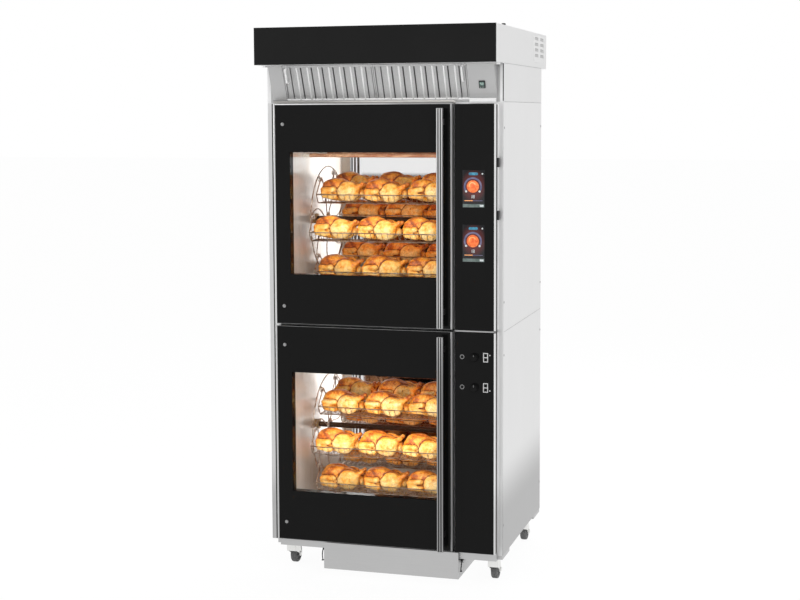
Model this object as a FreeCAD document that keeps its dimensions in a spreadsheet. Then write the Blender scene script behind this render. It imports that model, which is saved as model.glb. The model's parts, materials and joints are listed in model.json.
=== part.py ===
# Two-tier electric chicken rotisserie with a recirculating hood, on swivel castors.
# Millimetres. +X to the right of someone facing the doors, +Y to the back, +Z up.
# The origin is on the floor, under the middle of the overall box.
import FreeCAD, Part
import math
import os
import re

Vector = FreeCAD.Vector
Rotation = FreeCAD.Rotation

SIZES = {
    # cabinet
    "body_width": 1028, "body_depth": 810, "sheet": 2, "liner": 3, "rear_wall": 29,
    "base_height": 121, "post_foot": 26, "side_bottom": 138, "door_bottom": 153, "door_height": 930,
    "door_gap": 10, "module_top": 8, "channel_depth": 140, "pan": 3, "sill_depth": 30, "sill_gap": 3,
    # hood
    "hood_depth": 1076, "hood_overhang": 152, "neck_height": 157, "hood_height": 154, "fascia": 8,
    "bank_margin": 26, "left_blank": 64, "right_blank": 116, "slope_foot": 9, "slope_angle": 24,
    "filter_length": 155, "filter_plate": 4, "filter_depth": 14, "filter_gap": 1,
    "baffle_width": 26, "baffle_slope": 5.2,
    "display_width": 26, "display_height": 32, "display_depth": 6, "display_rise": 52,
    "bail_height": 58, "bail_reach": 16, "bail_wire": 4, "bail_rise": 92, "bail_inset": 26,
    "gland_radius": 9, "gland_bore": 6, "gland_height": 12, "gland_inset": 24, "gland_back": 255,
    "fan_radius": 95, "fan_height": 70, "fan_hub": 22, "fan_shaft": 8, "fan_motor_radius": 55,
    "fan_motor_height": 44, "fan_back": 620, "fan_shaft_reach": 40, "lid_depth": 330,
    # doors
    "door_thickness": 45, "leaf": 40, "door_left": 49, "mullion": 12, "panel_width": 173,
    "panel_margin": 22, "window_left": 65, "window_right": 52, "window_bottom": 214, "window_top": 199,
    "pane": 6, "hinge_inset": 11, "hinge_depth": 22, "knuckle_radius": 8, "pin_radius": 5,
    "knuckle_height": 20, "leaf_knuckle": 36, "hinge_rise": 104, "running": 0.05, "seat": 0.3,
    "handle_width": 26, "handle_depth": 18, "handle_standoff": 37, "handle_edge": 27,
    "handle_foot": 9, "handle_head": 18, "flute_width": 4, "flute_depth": 5, "foot_inset": 60,
    "foot_height": 26, "foot_width": 16,
    # controls
    "glass": 6, "panel_trim": 8, "screen_width": 92, "screen_height": 153, "screen_left": 33,
    "screen_plate": 0.6,
    "screen_low": 283, "screen_high": 507, "knob_left": 83.5, "knob_low": 702, "knob_high": 828,
    "knob_radius": 18, "knob_height": 22, "knob_grip": 15, "knob_skirt": 6.6, "knob_waist": 9.9,
    "port_height": 38, "port_depth": 26,
    "port_proud": 9, "port_low": 456, "port_high": 672,
    # cavities
    "cavity_left": 74, "cavity_right": 17, "cavity_floor": 45, "cavity_ceiling": 170,
    "rod_radius": 9, "rod_drop": 50, "rod_spread": 120, "lamp_radius": 36, "lamp_depth": 9,
    "lamp_rise": 217, "lamp_front": 60,
    # rotors
    "rotor_lift": 20.5, "rotor_room": 96, "rotor_back": 370, "disc_rim": 26, "disc": 4,
    "disc_gap": 66, "drive_gap": 39, "shaft_radius": 12, "bush_radius": 22, "bush_length": 20,
    "rest_angle": 6, "window_hole": 47.5, "window_ring": 138, "gear_size": 90, "gear_depth": 60,
    "motor_radius": 36, "motor_length": 80, "stub_reach": 30,
    # baskets
    "pivot_radius": 4, "end_clearance": 5, "end_plate": 2, "tray_drop": 103, "rail_drop": 64,
    "basket_gap": 46.57, "flare": 25, "wire": 3, "hanger_width": 20, "hanger_top": 12,
    "bird_gap": 6, "bird_side": 10, "bird_flat": 4,
    # grease drawer
    "drawer_left": 252, "drawer_right": 181, "drawer_depth": 560, "drawer_bottom": 36,
    "drawer_clearance": 4, "flange": 4, "flange_drop": 18, "runner_web": 3, "runner_gap": 4,
    "lip_gap": 1,
    "latch_width": 11, "latch_depth": 40, "latch_height": 54,
    # castors and fasteners
    "castor_side": 60, "castor_front": 96, "castor_rear": 96, "castor_plate": 90, "plate": 6,
    "trail": 38, "wheel_radius": 40, "wheel_width": 28, "axle_radius": 6, "hub_radius": 14,
    "tyre_inner": 28, "tyre_edge": 37.6, "tread_width": 16.8, "wheel_recess": 4, "leg_root": 21,
    "crown_radius": 30, "crown": 12, "fork_leg": 4, "fork_gap": 3, "leg_foot": 12,
    "screw_radius": 5, "screw_head": 1.5, "screw_inset": 11, "screw_low": 113, "screw_high": 832,
}
BASKETS = 7
BIRDS = 3
BAFFLES = 8
NET_GAPS = 14

# Places worked out from the sizes
PLACES = {
    "side": "body_width / 2",
    "inner": "side - sheet",
    "front": "-hood_depth / 2 + hood_overhang",
    "rear": "front + body_depth",
    "door_face": "front - door_thickness",
    "door_x": "-side + door_left",
    "panel_end": "side - panel_margin",
    "panel_x": "panel_end - panel_width",
    "door_end": "panel_x - mullion",
    "split": "door_bottom + door_height + door_gap / 2",
    "roof": "door_bottom + 2 * door_height + door_gap + module_top",
    "hood_bottom": "roof + neck_height",
    "hood_top": "hood_bottom + hood_height",
    "hood_front": "-hood_depth / 2",
    "bank": "side - bank_margin",
    "sill_top": "roof + slope_foot - seat",
    "filter_width": "(2 * bank - left_blank - right_blank) / 2",
    "cavity_x": "-side + cavity_left",
    "cavity_end": "door_end - cavity_right",
    "cavity_y": "front + liner",
    "cavity_back": "rear - rear_wall",
    "window_x": "door_x + window_left",
    "window_end": "door_end - window_right",
    "handle_x": "door_end - handle_edge - handle_width",
    "hinge_x": "door_x - hinge_inset",
    "hinge_y": "door_face + hinge_depth",
    "cavity_height": "door_height - cavity_floor - cavity_ceiling",
    "rotor_y": "front + rotor_back",
    "rotor_height": "cavity_floor + cavity_height / 2 + rotor_lift",
    "pitch_radius": "cavity_height / 2 - rotor_lift - rotor_room - disc_rim",
    "disc_x": "cavity_x + disc_gap",
    "disc_end": "cavity_end - drive_gap",
    "basket_x": "disc_x + disc + end_clearance",
    "fan_y": "hood_front + fan_back",
    "drawer_x": "-side + drawer_left",
    "drawer_end": "side - drawer_right",
    "drawer_top": "base_height - drawer_clearance",
    "flange_z": "drawer_top - flange_drop",
    "axle_z": "wheel_radius",
    "crown_top": "base_height - plate - seat",
}

doc = FreeCAD.newDocument("rotisserie")
sheet = doc.addObject("Spreadsheet::Sheet", "Sizes")
for row, (alias, value) in enumerate(SIZES.items(), start=1):
    sheet.set(f"A{row}", alias)
    sheet.set(f"B{row}", str(value))
    sheet.setAlias(f"B{row}", alias)
doc.recompute()
size = {alias: sheet.get(alias) for alias in SIZES}

nodes = []


def expression(text):
    """Text in sizes and places becomes an expression on the sheet's cells."""
    def word(match):
        name = match.group()
        if name in PLACES:
            return "(" + expression(PLACES[name]) + ")"
        return "Sizes." + name if name in SIZES else name
    return re.sub(r"[a-z][a-z_]*", word, str(text))


def bind(obj, **sizes):
    for name, text in sizes.items():
        obj.setExpression(name, expression(text))
    return obj


def place(obj, x="0", y="0", z="0", axis=None, angle="0"):
    if axis:
        obj.Placement = FreeCAD.Placement(Vector(), Rotation(axis, 90))
        obj.setExpression("Placement.Rotation.Angle", expression(angle))
    for name, text in zip("xyz", (x, y, z)):
        obj.setExpression(f"Placement.Base.{name}", expression(text))
    return obj


def box(name, x, y, z):
    """A block between two places on each axis."""
    obj = doc.addObject("Part::Box", name)
    for side, (low, high) in zip(("Length", "Width", "Height"), (x, y, z)):
        obj.setExpression(side, expression(f"({high}) - ({low})"))
    return place(obj, x[0], y[0], z[0])


def rod(name, axis, at, length, radius):
    """A round bar that starts at a point and runs along X, Y or Z."""
    obj = bind(doc.addObject("Part::Cylinder", name), Radius=radius, Height=length)
    turn = {"x": (Vector(0, 1, 0), "90"), "y": (Vector(-1, 0, 0), "90"), "z": (None, "0")}[axis]
    return place(obj, *at, *turn)


def cut(name, base, tool):
    obj = doc.addObject("Part::Cut", name)
    obj.Base, obj.Tool = base, tool
    return obj


def fuse(name, *members):
    obj = doc.addObject("Part::MultiFuse", name)
    obj.Shapes = list(members)
    return obj


def node(label, *members):
    """The named sub-part: one object, or separate solids that belong together."""
    if len(members) == 1:
        obj = members[0]
    else:
        obj = doc.addObject("Part::Compound", label)
        obj.Links = list(members)
    obj.Label = label
    nodes.append(obj)
    return obj


def new_sketch(body, plane):
    sketch = body.newObject("Sketcher::SketchObject", body.Name + "_sketch")
    origin = next(f for f in body.Origin.OriginFeatures if f.Role == plane)
    sketch.AttachmentSupport = [(origin, "")]
    sketch.MapMode = "FlatFace"
    return sketch


def outline(sketch, corners):
    """A closed outline of straight lines, each corner held from the sketch's origin."""
    import Sketcher
    first = sketch.GeometryCount
    count = len(corners)
    ring = [Vector(math.cos(2 * math.pi * i / count), math.sin(2 * math.pi * i / count), 0)
            for i in range(count)]
    for i in range(count):
        sketch.addGeometry(Part.LineSegment(ring[i], ring[(i + 1) % count]))
    for i in range(count):
        sketch.addConstraint(Sketcher.Constraint("Coincident", first + i, 2, first + (i + 1) % count, 1))
    for i, corner in enumerate(corners):
        for kind, text, start in zip(("DistanceX", "DistanceY"), corner, (ring[i].x, ring[i].y)):
            made = sketch.addConstraint(Sketcher.Constraint(kind, -1, 1, first + i, 1, start))
            sketch.setExpression(f"Constraints[{made}]", expression(text))


def circle(sketch, x, y, radius):
    import Sketcher
    made = sketch.addGeometry(Part.Circle(Vector(1, 1, 0), Vector(0, 0, 1), 1))
    for kind, text in (("DistanceX", x), ("DistanceY", y)):
        held = sketch.addConstraint(Sketcher.Constraint(kind, -1, 1, made, 3, 1.0))
        sketch.setExpression(f"Constraints[{held}]", expression(text))
    held = sketch.addConstraint(Sketcher.Constraint("Radius", made, 1.0))
    sketch.setExpression(f"Constraints[{held}]", expression(radius))


def padded(name, plane, loops, length, reverse=False):
    """A body padded from one or more outlines on an origin plane."""
    body = doc.addObject("PartDesign::Body", name)
    sketch = new_sketch(body, plane)
    for corners in loops:
        outline(sketch, corners)
    pad = body.newObject("PartDesign::Pad", name + "_pad")
    pad.Profile = sketch
    pad.Reversed = reverse
    bind(pad, Length=length)
    return body


def turned(name, corners):
    """A body turned about the sketch's upright axis, +Z of the body."""
    body = doc.addObject("PartDesign::Body", name)
    sketch = new_sketch(body, "XZ_Plane")
    outline(sketch, corners)
    turn = body.newObject("PartDesign::Revolution", name + "_turn")
    turn.Profile = sketch
    turn.ReferenceAxis = (sketch, ["V_Axis"])
    turn.Angle = 360
    return body


def ring(name, outer, opening, y):
    """Four upright plates round a window: left, right, foot and head."""
    (x0, x1), (z0, z1) = outer
    (left, right), (low, high) = opening
    return [box(f"{name}_left", (x0, left), y, (z0, z1)),
            box(f"{name}_right", (right, x1), y, (z0, z1)),
            box(f"{name}_foot", (left, right), y, (z0, low)),
            box(f"{name}_head", (left, right), y, (high, z1))]


def rectangle(x, y):
    return [(x[0], y[0]), (x[1], y[0]), (x[1], y[1]), (x[0], y[1])]


# The two ovens, lower and upper, are alike: each starts at the bottom of its door
OVENS = {"lower": "door_bottom", "upper": "door_bottom + door_height + door_gap"}
SIDES = {"left": -1, "right": 1}


def base():
    across = ("-inner", "inner")
    low = ("base_height", "side_bottom")
    node("base_frame",
         box("front_channel", ("-side + post_foot", "inner"), ("front", "front + channel_depth"), low),
         box("rear_channel", across, ("rear - channel_depth", "rear"), low),
         box("floor_pan", across, ("cavity_y", "cavity_back"), ("side_bottom", "side_bottom + pan")),
         box("door_sill", ("door_x", "panel_end"), ("front - sill_depth", "front"),
             ("base_height", "door_bottom - sill_gap")))


def skins():
    panels, screws = [], []
    spans = {"lower": ("side_bottom", "split"), "upper": ("split", "roof")}
    for side, sign in SIDES.items():
        x = ("inner", "side") if sign > 0 else ("-side", "-inner")
        for level, span in spans.items():
            panels.append(box(f"{side}_{level}_panel", x, ("front", "rear"), span))
            for rise in ("screw_low", "screw_high"):
                for y in ("front + screw_inset", "rear - screw_inset"):
                    at = ("side" if sign > 0 else "-side - screw_head", y, f"{OVENS[level]} + {rise}")
                    screws.append(rod("screw", "x", at, "screw_head", "screw_radius"))
    node("side_panels", *panels)
    node("panel_screws", *screws)
    walls, windows = [], []
    for level, (low, high) in spans.items():
        bottom = f"{OVENS[level]} + window_bottom"
        top = f"{OVENS[level]} + door_height - window_top"
        opening = (("window_x", "window_end"), (bottom, top))
        walls += ring(f"{level}_rear", (("-inner", "inner"), (low, high)), opening, ("rear - sheet", "rear"))
        reveal = (("window_x - sheet", "window_end + sheet"), (f"{bottom} - sheet", f"{top} + sheet"))
        walls += ring(f"{level}_reveal", reveal, opening, ("cavity_back + liner", "rear - sheet"))
        for name, y in (("inner", ("cavity_back", "cavity_back + pane")), ("outer", ("rear - pane", "rear"))):
            windows.append(box(f"rear_{level}_{name}_pane", opening[0], y, opening[1]))
    node("rear_panels", *walls)
    node("rear_windows", *windows)


def cavities():
    liners, frames, rods, lamps = [], [], [], []
    deep = ("cavity_y", "cavity_back")
    face = ("front", "front + liner")
    spans = {"lower": ("side_bottom", "split"), "upper": ("split", "roof")}
    for level, start in OVENS.items():
        floor = f"{start} + cavity_floor"
        ceiling = f"{start} + door_height - cavity_ceiling"
        axle = f"{start} + rotor_height"
        wall = box(f"{level}_right_wall", ("cavity_end", "cavity_end + liner"), deep, (floor, ceiling))
        hole = rod(f"{level}_shaft_hole", "x", ("cavity_end", "rotor_y", axle), "liner", "bush_radius")
        liners += [box(f"{level}_left_wall", ("cavity_x - liner", "cavity_x"), deep, (floor, ceiling)),
                   cut(f"{level}_drive_wall", wall, hole),
                   box(f"{level}_floor", ("cavity_x - liner", "cavity_end + liner"), deep,
                       (f"{floor} - liner", floor)),
                   box(f"{level}_ceiling", ("cavity_x - liner", "cavity_end + liner"), deep,
                       (ceiling, f"{ceiling} + liner"))]
        liners += ring(f"{level}_back", (("cavity_x - liner", "cavity_end + liner"),
                                         (f"{floor} - liner", f"{ceiling} + liner")),
                       (("window_x", "window_end"), (f"{start} + window_bottom",
                                                     f"{start} + door_height - window_top")),
                       ("cavity_back", "cavity_back + liner"))
        frames += ring(f"{level}_frame", (("-inner", "inner"), spans[level]),
                       (("cavity_x", "cavity_end"), (floor, ceiling)), face)
        top = f"{start} + door_height"
        trim = "panel_end - panel_trim"
        behind = ("door_face + glass", "front")
        frames += [box(f"{level}_panel_trim", (trim, "panel_end"), ("door_face", "front"), (start, top)),
                   box(f"{level}_housing_left", ("panel_x", "panel_x + sheet"), behind, (start, top)),
                   box(f"{level}_housing_foot", ("panel_x + sheet", trim), behind,
                       (start, f"{start} + sheet")),
                   box(f"{level}_housing_head", ("panel_x + sheet", trim), behind,
                       (f"{top} - sheet", top))]
        for sign in ("-", "+"):
            at = ("cavity_x", f"rotor_y {sign} rod_spread", f"{ceiling} - rod_drop")
            rods.append(rod(f"{level}_heating_rod", "x", at, "cavity_end - cavity_x", "rod_radius"))
        for y in ("cavity_y + lamp_front", "cavity_back - lamp_front"):
            at = ("cavity_end - lamp_depth", y, f"{axle} + lamp_rise")
            lamps.append(rod(f"{level}_lamp", "x", at, "lamp_depth", "lamp_radius"))
    node("cavity_liners", *liners)
    node("front_frames", *frames)
    node("heating_elements", *rods)
    node("cavity_lamps", *lamps)


def controls():
    panels, screens, ports = [], [], []
    for level, start in OVENS.items():
        panels.append(box(f"{level}_glass", ("panel_x", "panel_end - panel_trim"),
                          ("door_face", "door_face + glass"), (start, f"{start} + door_height")))
    start = OVENS["upper"]
    for rise in ("screen_low", "screen_high"):
        left = "panel_x + screen_left"
        screens.append(box("screen", (left, f"{left} + screen_width"),
                           ("door_face - screen_plate", "door_face"),
                           (f"{start} + {rise}", f"{start} + {rise} + screen_height")))
    for rise in ("port_low", "port_high"):
        middle = "(door_face + front) / 2"
        ports.append(box("port", ("panel_end", "panel_end + port_proud"),
                         (f"{middle} - port_depth / 2", f"{middle} + port_depth / 2"),
                         (f"{start} + {rise}", f"{start} + {rise} + port_height")))
    node("control_panels", *panels)
    node("touch_screens", *screens)
    node("port_covers", *ports)
    for level, rise in (("upper", "knob_high"), ("lower", "knob_low")):
        knob = turned(f"{level}_knob", [("0", "0"), ("knob_radius", "0"), ("knob_radius", "knob_skirt"),
                                        ("knob_grip", "knob_waist"), ("knob_grip", "knob_height"),
                                        ("0", "knob_height")])
        place(knob, "panel_x + knob_left", "door_face - seat", f"door_bottom + {rise}",
              Vector(1, 0, 0), "90")
        node(f"{level}_knob", knob)


def hood():
    across = ("-inner", "inner")
    inside = ("hood_front + fascia", "hood_depth / 2 - sheet")
    tall = ("hood_bottom", "hood_top - sheet")
    slope = "slope_angle"
    seam = "hood_front + lid_depth"
    skin = ("hood_top - sheet", "hood_top")
    plates = [box("hood_lid", ("-side", "side"), ("hood_front + fascia", seam), skin),
              box("hood_roof", ("-side", "side"), (seam, "hood_depth / 2"), skin),
              box("hood_back", ("-side", "side"), ("hood_depth / 2 - sheet", "hood_depth / 2"), tall),
              box("hood_eave", across, ("hood_front + fascia", "front - filter_length * sin(slope_angle)"),
                  ("hood_bottom", "hood_bottom + sheet")),
              box("hood_rear_eave", across, ("rear", "hood_depth / 2 - sheet"),
                  ("hood_bottom", "hood_bottom + sheet")),
              box("neck_floor", across, ("front + liner", "rear - sheet"), ("roof", "roof + sheet")),
              box("neck_back", across, ("rear - sheet", "rear"), ("roof", "hood_bottom")),
              box("filter_sill", ("-bank", "bank"), ("front - liner", "front + liner"), ("roof", "sill_top"))]
    for side, sign in SIDES.items():
        x = ("inner", "side") if sign > 0 else ("-side", "-inner")
        strip = ("bank", "inner") if sign > 0 else ("-inner", "-bank")
        plates += [box(f"hood_{side}", x, inside, tall),
                   box(f"neck_{side}", x, ("front", "rear"), ("roof", "hood_bottom")),
                   box(f"neck_{side}_strip", strip, ("front", "front + liner"), ("roof", "hood_bottom"))]
        cheek = padded(f"{side}_cheek", "YZ_Plane", [[
            ("front", "sill_top"), ("front", "hood_bottom"),
            ("front - filter_length * sin(slope_angle)", "hood_bottom")]], "sheet")
        plates.append(place(cheek, "bank - sheet" if sign > 0 else "-bank"))
    blanks = {"left": ("-bank + sheet", "-bank + left_blank - filter_gap / 2"),
              "right": ("bank - right_blank + filter_gap / 2", "bank - sheet")}
    for side, (low, high) in blanks.items():
        blank = bind(doc.addObject("Part::Box", f"{side}_blank"), Length=f"({high}) - ({low})",
                     Width="filter_plate", Height="filter_length")
        plates.append(place(blank, low, "front", "roof + slope_foot", Vector(1, 0, 0), slope))
    node("hood_casing", *plates)
    node("hood_fascia", box("hood_fascia", ("-side", "side"), ("hood_front", "hood_front + fascia"),
                            ("hood_bottom", "hood_top")))
    display = bind(doc.addObject("Part::Box", "hood_display"), Length="display_width",
                   Width="display_depth", Height="display_height")
    forward = "(display_rise * sin(slope_angle) + display_depth * cos(slope_angle))"
    upward = "(display_rise * cos(slope_angle) - display_depth * sin(slope_angle))"
    place(display, "bank - right_blank / 2 - display_width / 2", f"front - {forward}",
          f"roof + slope_foot + {upward}", Vector(1, 0, 0), slope)
    node("hood_display", display)
    for side in SIDES:
        node(f"{side}_filter", baffle_filter(side))
    gland_at = ("side - gland_inset", "hood_front + gland_back", "hood_top")
    node("cable_gland", cut("gland", rod("gland_body", "z", gland_at, "gland_height", "gland_radius"),
                            rod("gland_hole", "z", gland_at, "gland_height", "gland_bore")))
    middle = ("0", "fan_y")
    motor_z = "hood_top - sheet - fan_motor_height"
    shaft_z = f"{motor_z} - fan_shaft_reach"
    node("hood_fan_motor",
         rod("fan_motor", "z", (*middle, motor_z), "fan_motor_height", "fan_motor_radius"),
         rod("fan_axle", "z", (*middle, shaft_z), "fan_shaft_reach", "fan_shaft"))
    bore = "(fan_shaft + running)"
    wheel = turned("hood_fan", [(bore, "0"), ("fan_hub", "0"), ("fan_hub", "fan_height - sheet"),
                                ("fan_radius", "fan_height - sheet"), ("fan_radius", "fan_height"),
                                (bore, "fan_height")])
    place(wheel, *middle, f"{motor_z} - seat - fan_height")
    node("hood_fan", wheel)


def baffle_filter(side):
    """A lift-out grease filter: a frame plate, a row of upright baffles and a bail."""
    width = "(filter_width - filter_gap)"
    back = ("filter_depth - filter_plate", "filter_depth")
    plate = padded(f"{side}_filter_plate", "XY_Plane", [rectangle(("0", width), back)], "filter_length")
    sketch = new_sketch(plate, "XY_Plane")
    margin = f"(({width} - {BAFFLES} * baffle_width) / {BAFFLES + 1})"
    top = "(filter_depth - filter_plate)"
    outline(sketch, [(margin, top), (f"{margin} + baffle_slope", "0"),
                     (f"{margin} + baffle_width - baffle_slope", "0"), (f"{margin} + baffle_width", top)])
    rib = plate.newObject("PartDesign::Pad", f"{side}_baffle")
    rib.Profile = sketch
    bind(rib, Length="filter_length")
    row = plate.newObject("PartDesign::LinearPattern", f"{side}_baffles")
    row.Originals = [rib]
    row.Direction = (sketch, ["H_Axis"])
    row.Occurrences = BAFFLES
    bind(row, Length=f"{BAFFLES - 1} * ({margin} + baffle_width)")
    plate.Tip = row
    left = "bail_inset" if side == "left" else f"{width} - bail_inset - bail_wire"
    wide = (left, f"{left} + bail_wire")
    high = "bail_rise + bail_height"
    bail = [box(f"{side}_bail_bar", wide, ("-bail_reach - bail_wire", "-bail_reach"), ("bail_rise", high))]
    for leg in (("bail_rise", "bail_rise + bail_wire"), (f"{high} - bail_wire", high)):
        bail.append(box(f"{side}_bail_leg", wide, ("-bail_reach", top), leg))
    whole = fuse(f"{side}_filter_whole", plate, *bail)
    start = "-bank + left_blank" if side == "left" else "-bank + left_blank + filter_width"
    return place(whole, f"{start} + filter_gap / 2", "front", "roof + slope_foot",
                 Vector(1, 0, 0), "slope_angle")


def doors():
    brackets = []
    for level, start in OVENS.items():
        top = f"{start} + door_height"
        leaf = padded(f"{level}_leaf_plate", "XZ_Plane",
                      [rectangle(("door_x", "door_end"), (start, top)),
                       rectangle(("window_x", "window_end"),
                                 (f"{start} + window_bottom", f"{top} - window_top"))], "leaf", True)
        place(leaf, "0", "door_face")
        lugs = []
        for rise in ("hinge_rise", "door_height - hinge_rise - knuckle_height - leaf_knuckle"):
            low = f"{start} + {rise}"
            at = ("hinge_x", "hinge_y")
            brackets.append(fuse(
                f"{level}_bracket", rod("fixed_knuckle", "z", (*at, low), "knuckle_height", "knuckle_radius"),
                rod("hinge_pin", "z", (*at, low), "knuckle_height + leaf_knuckle", "pin_radius"),
                box("hinge_foot", ("hinge_x - knuckle_radius", "hinge_x + knuckle_radius"),
                    ("hinge_y", "front"), (low, f"{low} + knuckle_height"))))
            above = f"{low} + knuckle_height + seat"
            tall = "leaf_knuckle - seat"
            barrel = fuse("barrel", rod("door_knuckle", "z", (*at, above), tall, "knuckle_radius"),
                          box("knuckle_arm", ("hinge_x", "door_x"),
                              ("hinge_y - knuckle_radius / 2", "hinge_y + knuckle_radius / 2"),
                              (above, f"{above} + {tall}")))
            lugs.append(cut("lug", barrel, rod("lug_bore", "z", (*at, above), tall, "pin_radius + running")))
        node(f"{level}_door_leaf", leaf, *lugs)
        opening = (f"{start} + window_bottom", f"{top} - window_top")
        across = ("window_x", "window_end")
        node(f"{level}_door_window",
             box("outer_pane", across, ("door_face", "door_face + pane"), opening),
             box("inner_pane", across, ("door_face + leaf - pane", "door_face + leaf"), opening))
        node(f"{level}_door_handle", *handle(level, start))
    node("hinge_brackets", *brackets)


def handle(level, start):
    """An upright fluted bar on two feet: three ribs with two grooves between them."""
    rib = "((handle_width - 2 * flute_width) / 3)"
    far = "flute_depth"
    xs = [rib, f"{rib} + flute_width", f"2 * {rib} + flute_width", f"2 * {rib} + 2 * flute_width"]
    corners = [("0", "0"), (xs[0], "0"), (xs[0], far), (xs[1], far), (xs[1], "0"), (xs[2], "0"),
               (xs[2], far), (xs[3], far), (xs[3], "0"), ("handle_width", "0"),
               ("handle_width", "handle_depth"), ("0", "handle_depth")]
    bar = padded(f"{level}_handle_bar", "XY_Plane", [corners], "door_height - handle_foot - handle_head")
    bar_y = "door_face - handle_standoff - handle_depth"
    place(bar, "handle_x", bar_y, f"{start} + handle_foot")
    middle = "handle_x + handle_width / 2"
    feet = []
    for low in (f"{start} + foot_inset", f"{start} + door_height - foot_inset - foot_height"):
        feet.append(box(f"{level}_handle_foot", (f"{middle} - foot_width / 2", f"{middle} + foot_width / 2"),
                        ("door_face - handle_standoff", "door_face"), (low, f"{low} + foot_height")))
    return [bar, *feet]


def rotor_disc(name, x, axle):
    body = doc.addObject("PartDesign::Body", name)
    rim = new_sketch(body, "YZ_Plane")
    circle(rim, "0", "0", "pitch_radius + disc_rim")
    plate = body.newObject("PartDesign::Pad", name + "_plate")
    plate.Profile = rim
    bind(plate, Length="disc")
    holes = new_sketch(body, "YZ_Plane")
    circle(holes, "-pitch_radius * cos(rest_angle)", "pitch_radius * sin(rest_angle)",
           "pivot_radius + running")
    half = f"(rest_angle + {180 / BASKETS})"
    circle(holes, f"-window_ring * cos({half})", f"window_ring * sin({half})", "window_hole")
    drill = body.newObject("PartDesign::Pocket", name + "_holes")
    drill.Profile = holes
    drill.Type = "ThroughAll"
    drill.Midplane = True
    ring = body.newObject("PartDesign::PolarPattern", name + "_ring")
    ring.Originals = [drill]
    ring.Axis = (rim, ["N_Axis"])
    ring.Angle = 360
    ring.Occurrences = BASKETS
    body.Tip = ring
    return place(body, x, "rotor_y", axle)


def rotors():
    bushes, motors = [], []
    for level, start in OVENS.items():
        axle = f"{start} + rotor_height"
        line = ("rotor_y", axle)
        drive_x = "cavity_end + liner"
        node(f"{level}_rotor",
             rotor_disc(f"{level}_left_disc", "disc_x", axle),
             rotor_disc(f"{level}_right_disc", "disc_end - disc", axle),
             rod("shaft", "x", ("disc_x + disc", *line), "disc_end - disc_x - 2 * disc", "shaft_radius"),
             rod("idle_stub", "x", ("cavity_x + seat", *line), "disc_x - cavity_x - seat", "shaft_radius"),
             rod("drive_stub", "x", ("disc_end", *line), f"{drive_x} - disc_end + stub_reach",
                 "shaft_radius"))
        ends = (("cavity_x", "bush_length"), ("cavity_end - bush_length + liner", "bush_length"))
        for x, length in ends:
            bushes.append(cut(f"{level}_bush", rod("bush_body", "x", (x, *line), length, "bush_radius"),
                              rod("bush_bore", "x", (x, *line), length, "shaft_radius + running")))
        block = box("gear_block", (drive_x, f"{drive_x} + gear_depth"),
                    ("rotor_y - gear_size / 2", "rotor_y + gear_size / 2"),
                    (f"{axle} - gear_size / 2", f"{axle} + gear_size / 2"))
        socket = rod("socket", "x", (drive_x, *line), "stub_reach + seat", "shaft_radius + running")
        motor = rod("motor", "x", (f"{drive_x} + gear_depth", *line), "motor_length", "motor_radius")
        motors += [cut(f"{level}_gearbox", block, socket), motor]
    node("rotor_bearings", *bushes)
    node("drive_motors", *motors)


def between(start, end, radius_a, radius_b):
    """A round limb with ball ends, tapering from one point to another."""
    run = end - start
    return Part.makeCone(radius_a, radius_b, run.Length, start, run).fuse(
        [Part.makeSphere(radius_a, start), Part.makeSphere(radius_b, end)])


def roast_bird(length, r):
    """A trussed bird lying along X, breast up: body, drumsticks to +X and folded wings."""
    profile = [((0, 0), (0.04, 0.48), (0.16, 0.8)), ((0.16, 0.8), (0.45, 1.0), (0.8, 0.76)),
               ((0.8, 0.76), (0.95, 0.46), (1.0, 0))]
    arcs = [Part.Arc(*(Vector(x * length, 0, z * r) for x, z in arc)).toShape() for arc in profile]
    axis = Part.LineSegment(Vector(length, 0, 0), Vector(0, 0, 0)).toShape()
    body = Part.Face(Part.Wire([*arcs, axis])).revolve(Vector(), Vector(1, 0, 0), 360)
    limbs = []
    for sign in (-1, 1):
        limbs.append(between(Vector(0.64 * length, sign * 0.62 * r, 0.34 * r),
                             Vector(0.9 * length, sign * 0.36 * r, 0.62 * r), 0.36 * r, 0.17 * r))
        limbs.append(between(Vector(0.2 * length, sign * 0.66 * r, 0.12 * r),
                             Vector(0.42 * length, sign * 0.88 * r, 0.02 * r), 0.24 * r, 0.17 * r))
    under = Part.makeBox(length, 2 * r, r, Vector(0, -r, size["bird_flat"] - 2 * r))
    return body.fuse(limbs).cut(under)


def net(length, width):
    """A flat net of bars round a row of gaps, lying from the origin along X and Y."""
    bar, step = size["wire"], (length - size["wire"]) / NET_GAPS
    def loop(x0, y0, x1, y1):
        corners = [Vector(x0, y0, 0), Vector(x1, y0, 0), Vector(x1, y1, 0), Vector(x0, y1, 0)]
        return Part.makePolygon([*corners, corners[0]])
    gaps = [loop(bar + i * step, bar, (i + 1) * step, width - bar) for i in range(NET_GAPS)]
    holed = Part.makeFace([loop(0, 0, length, width), *gaps], "Part::FaceMakerBullseye")
    return holed.extrude(Vector(0, 0, bar))


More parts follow.
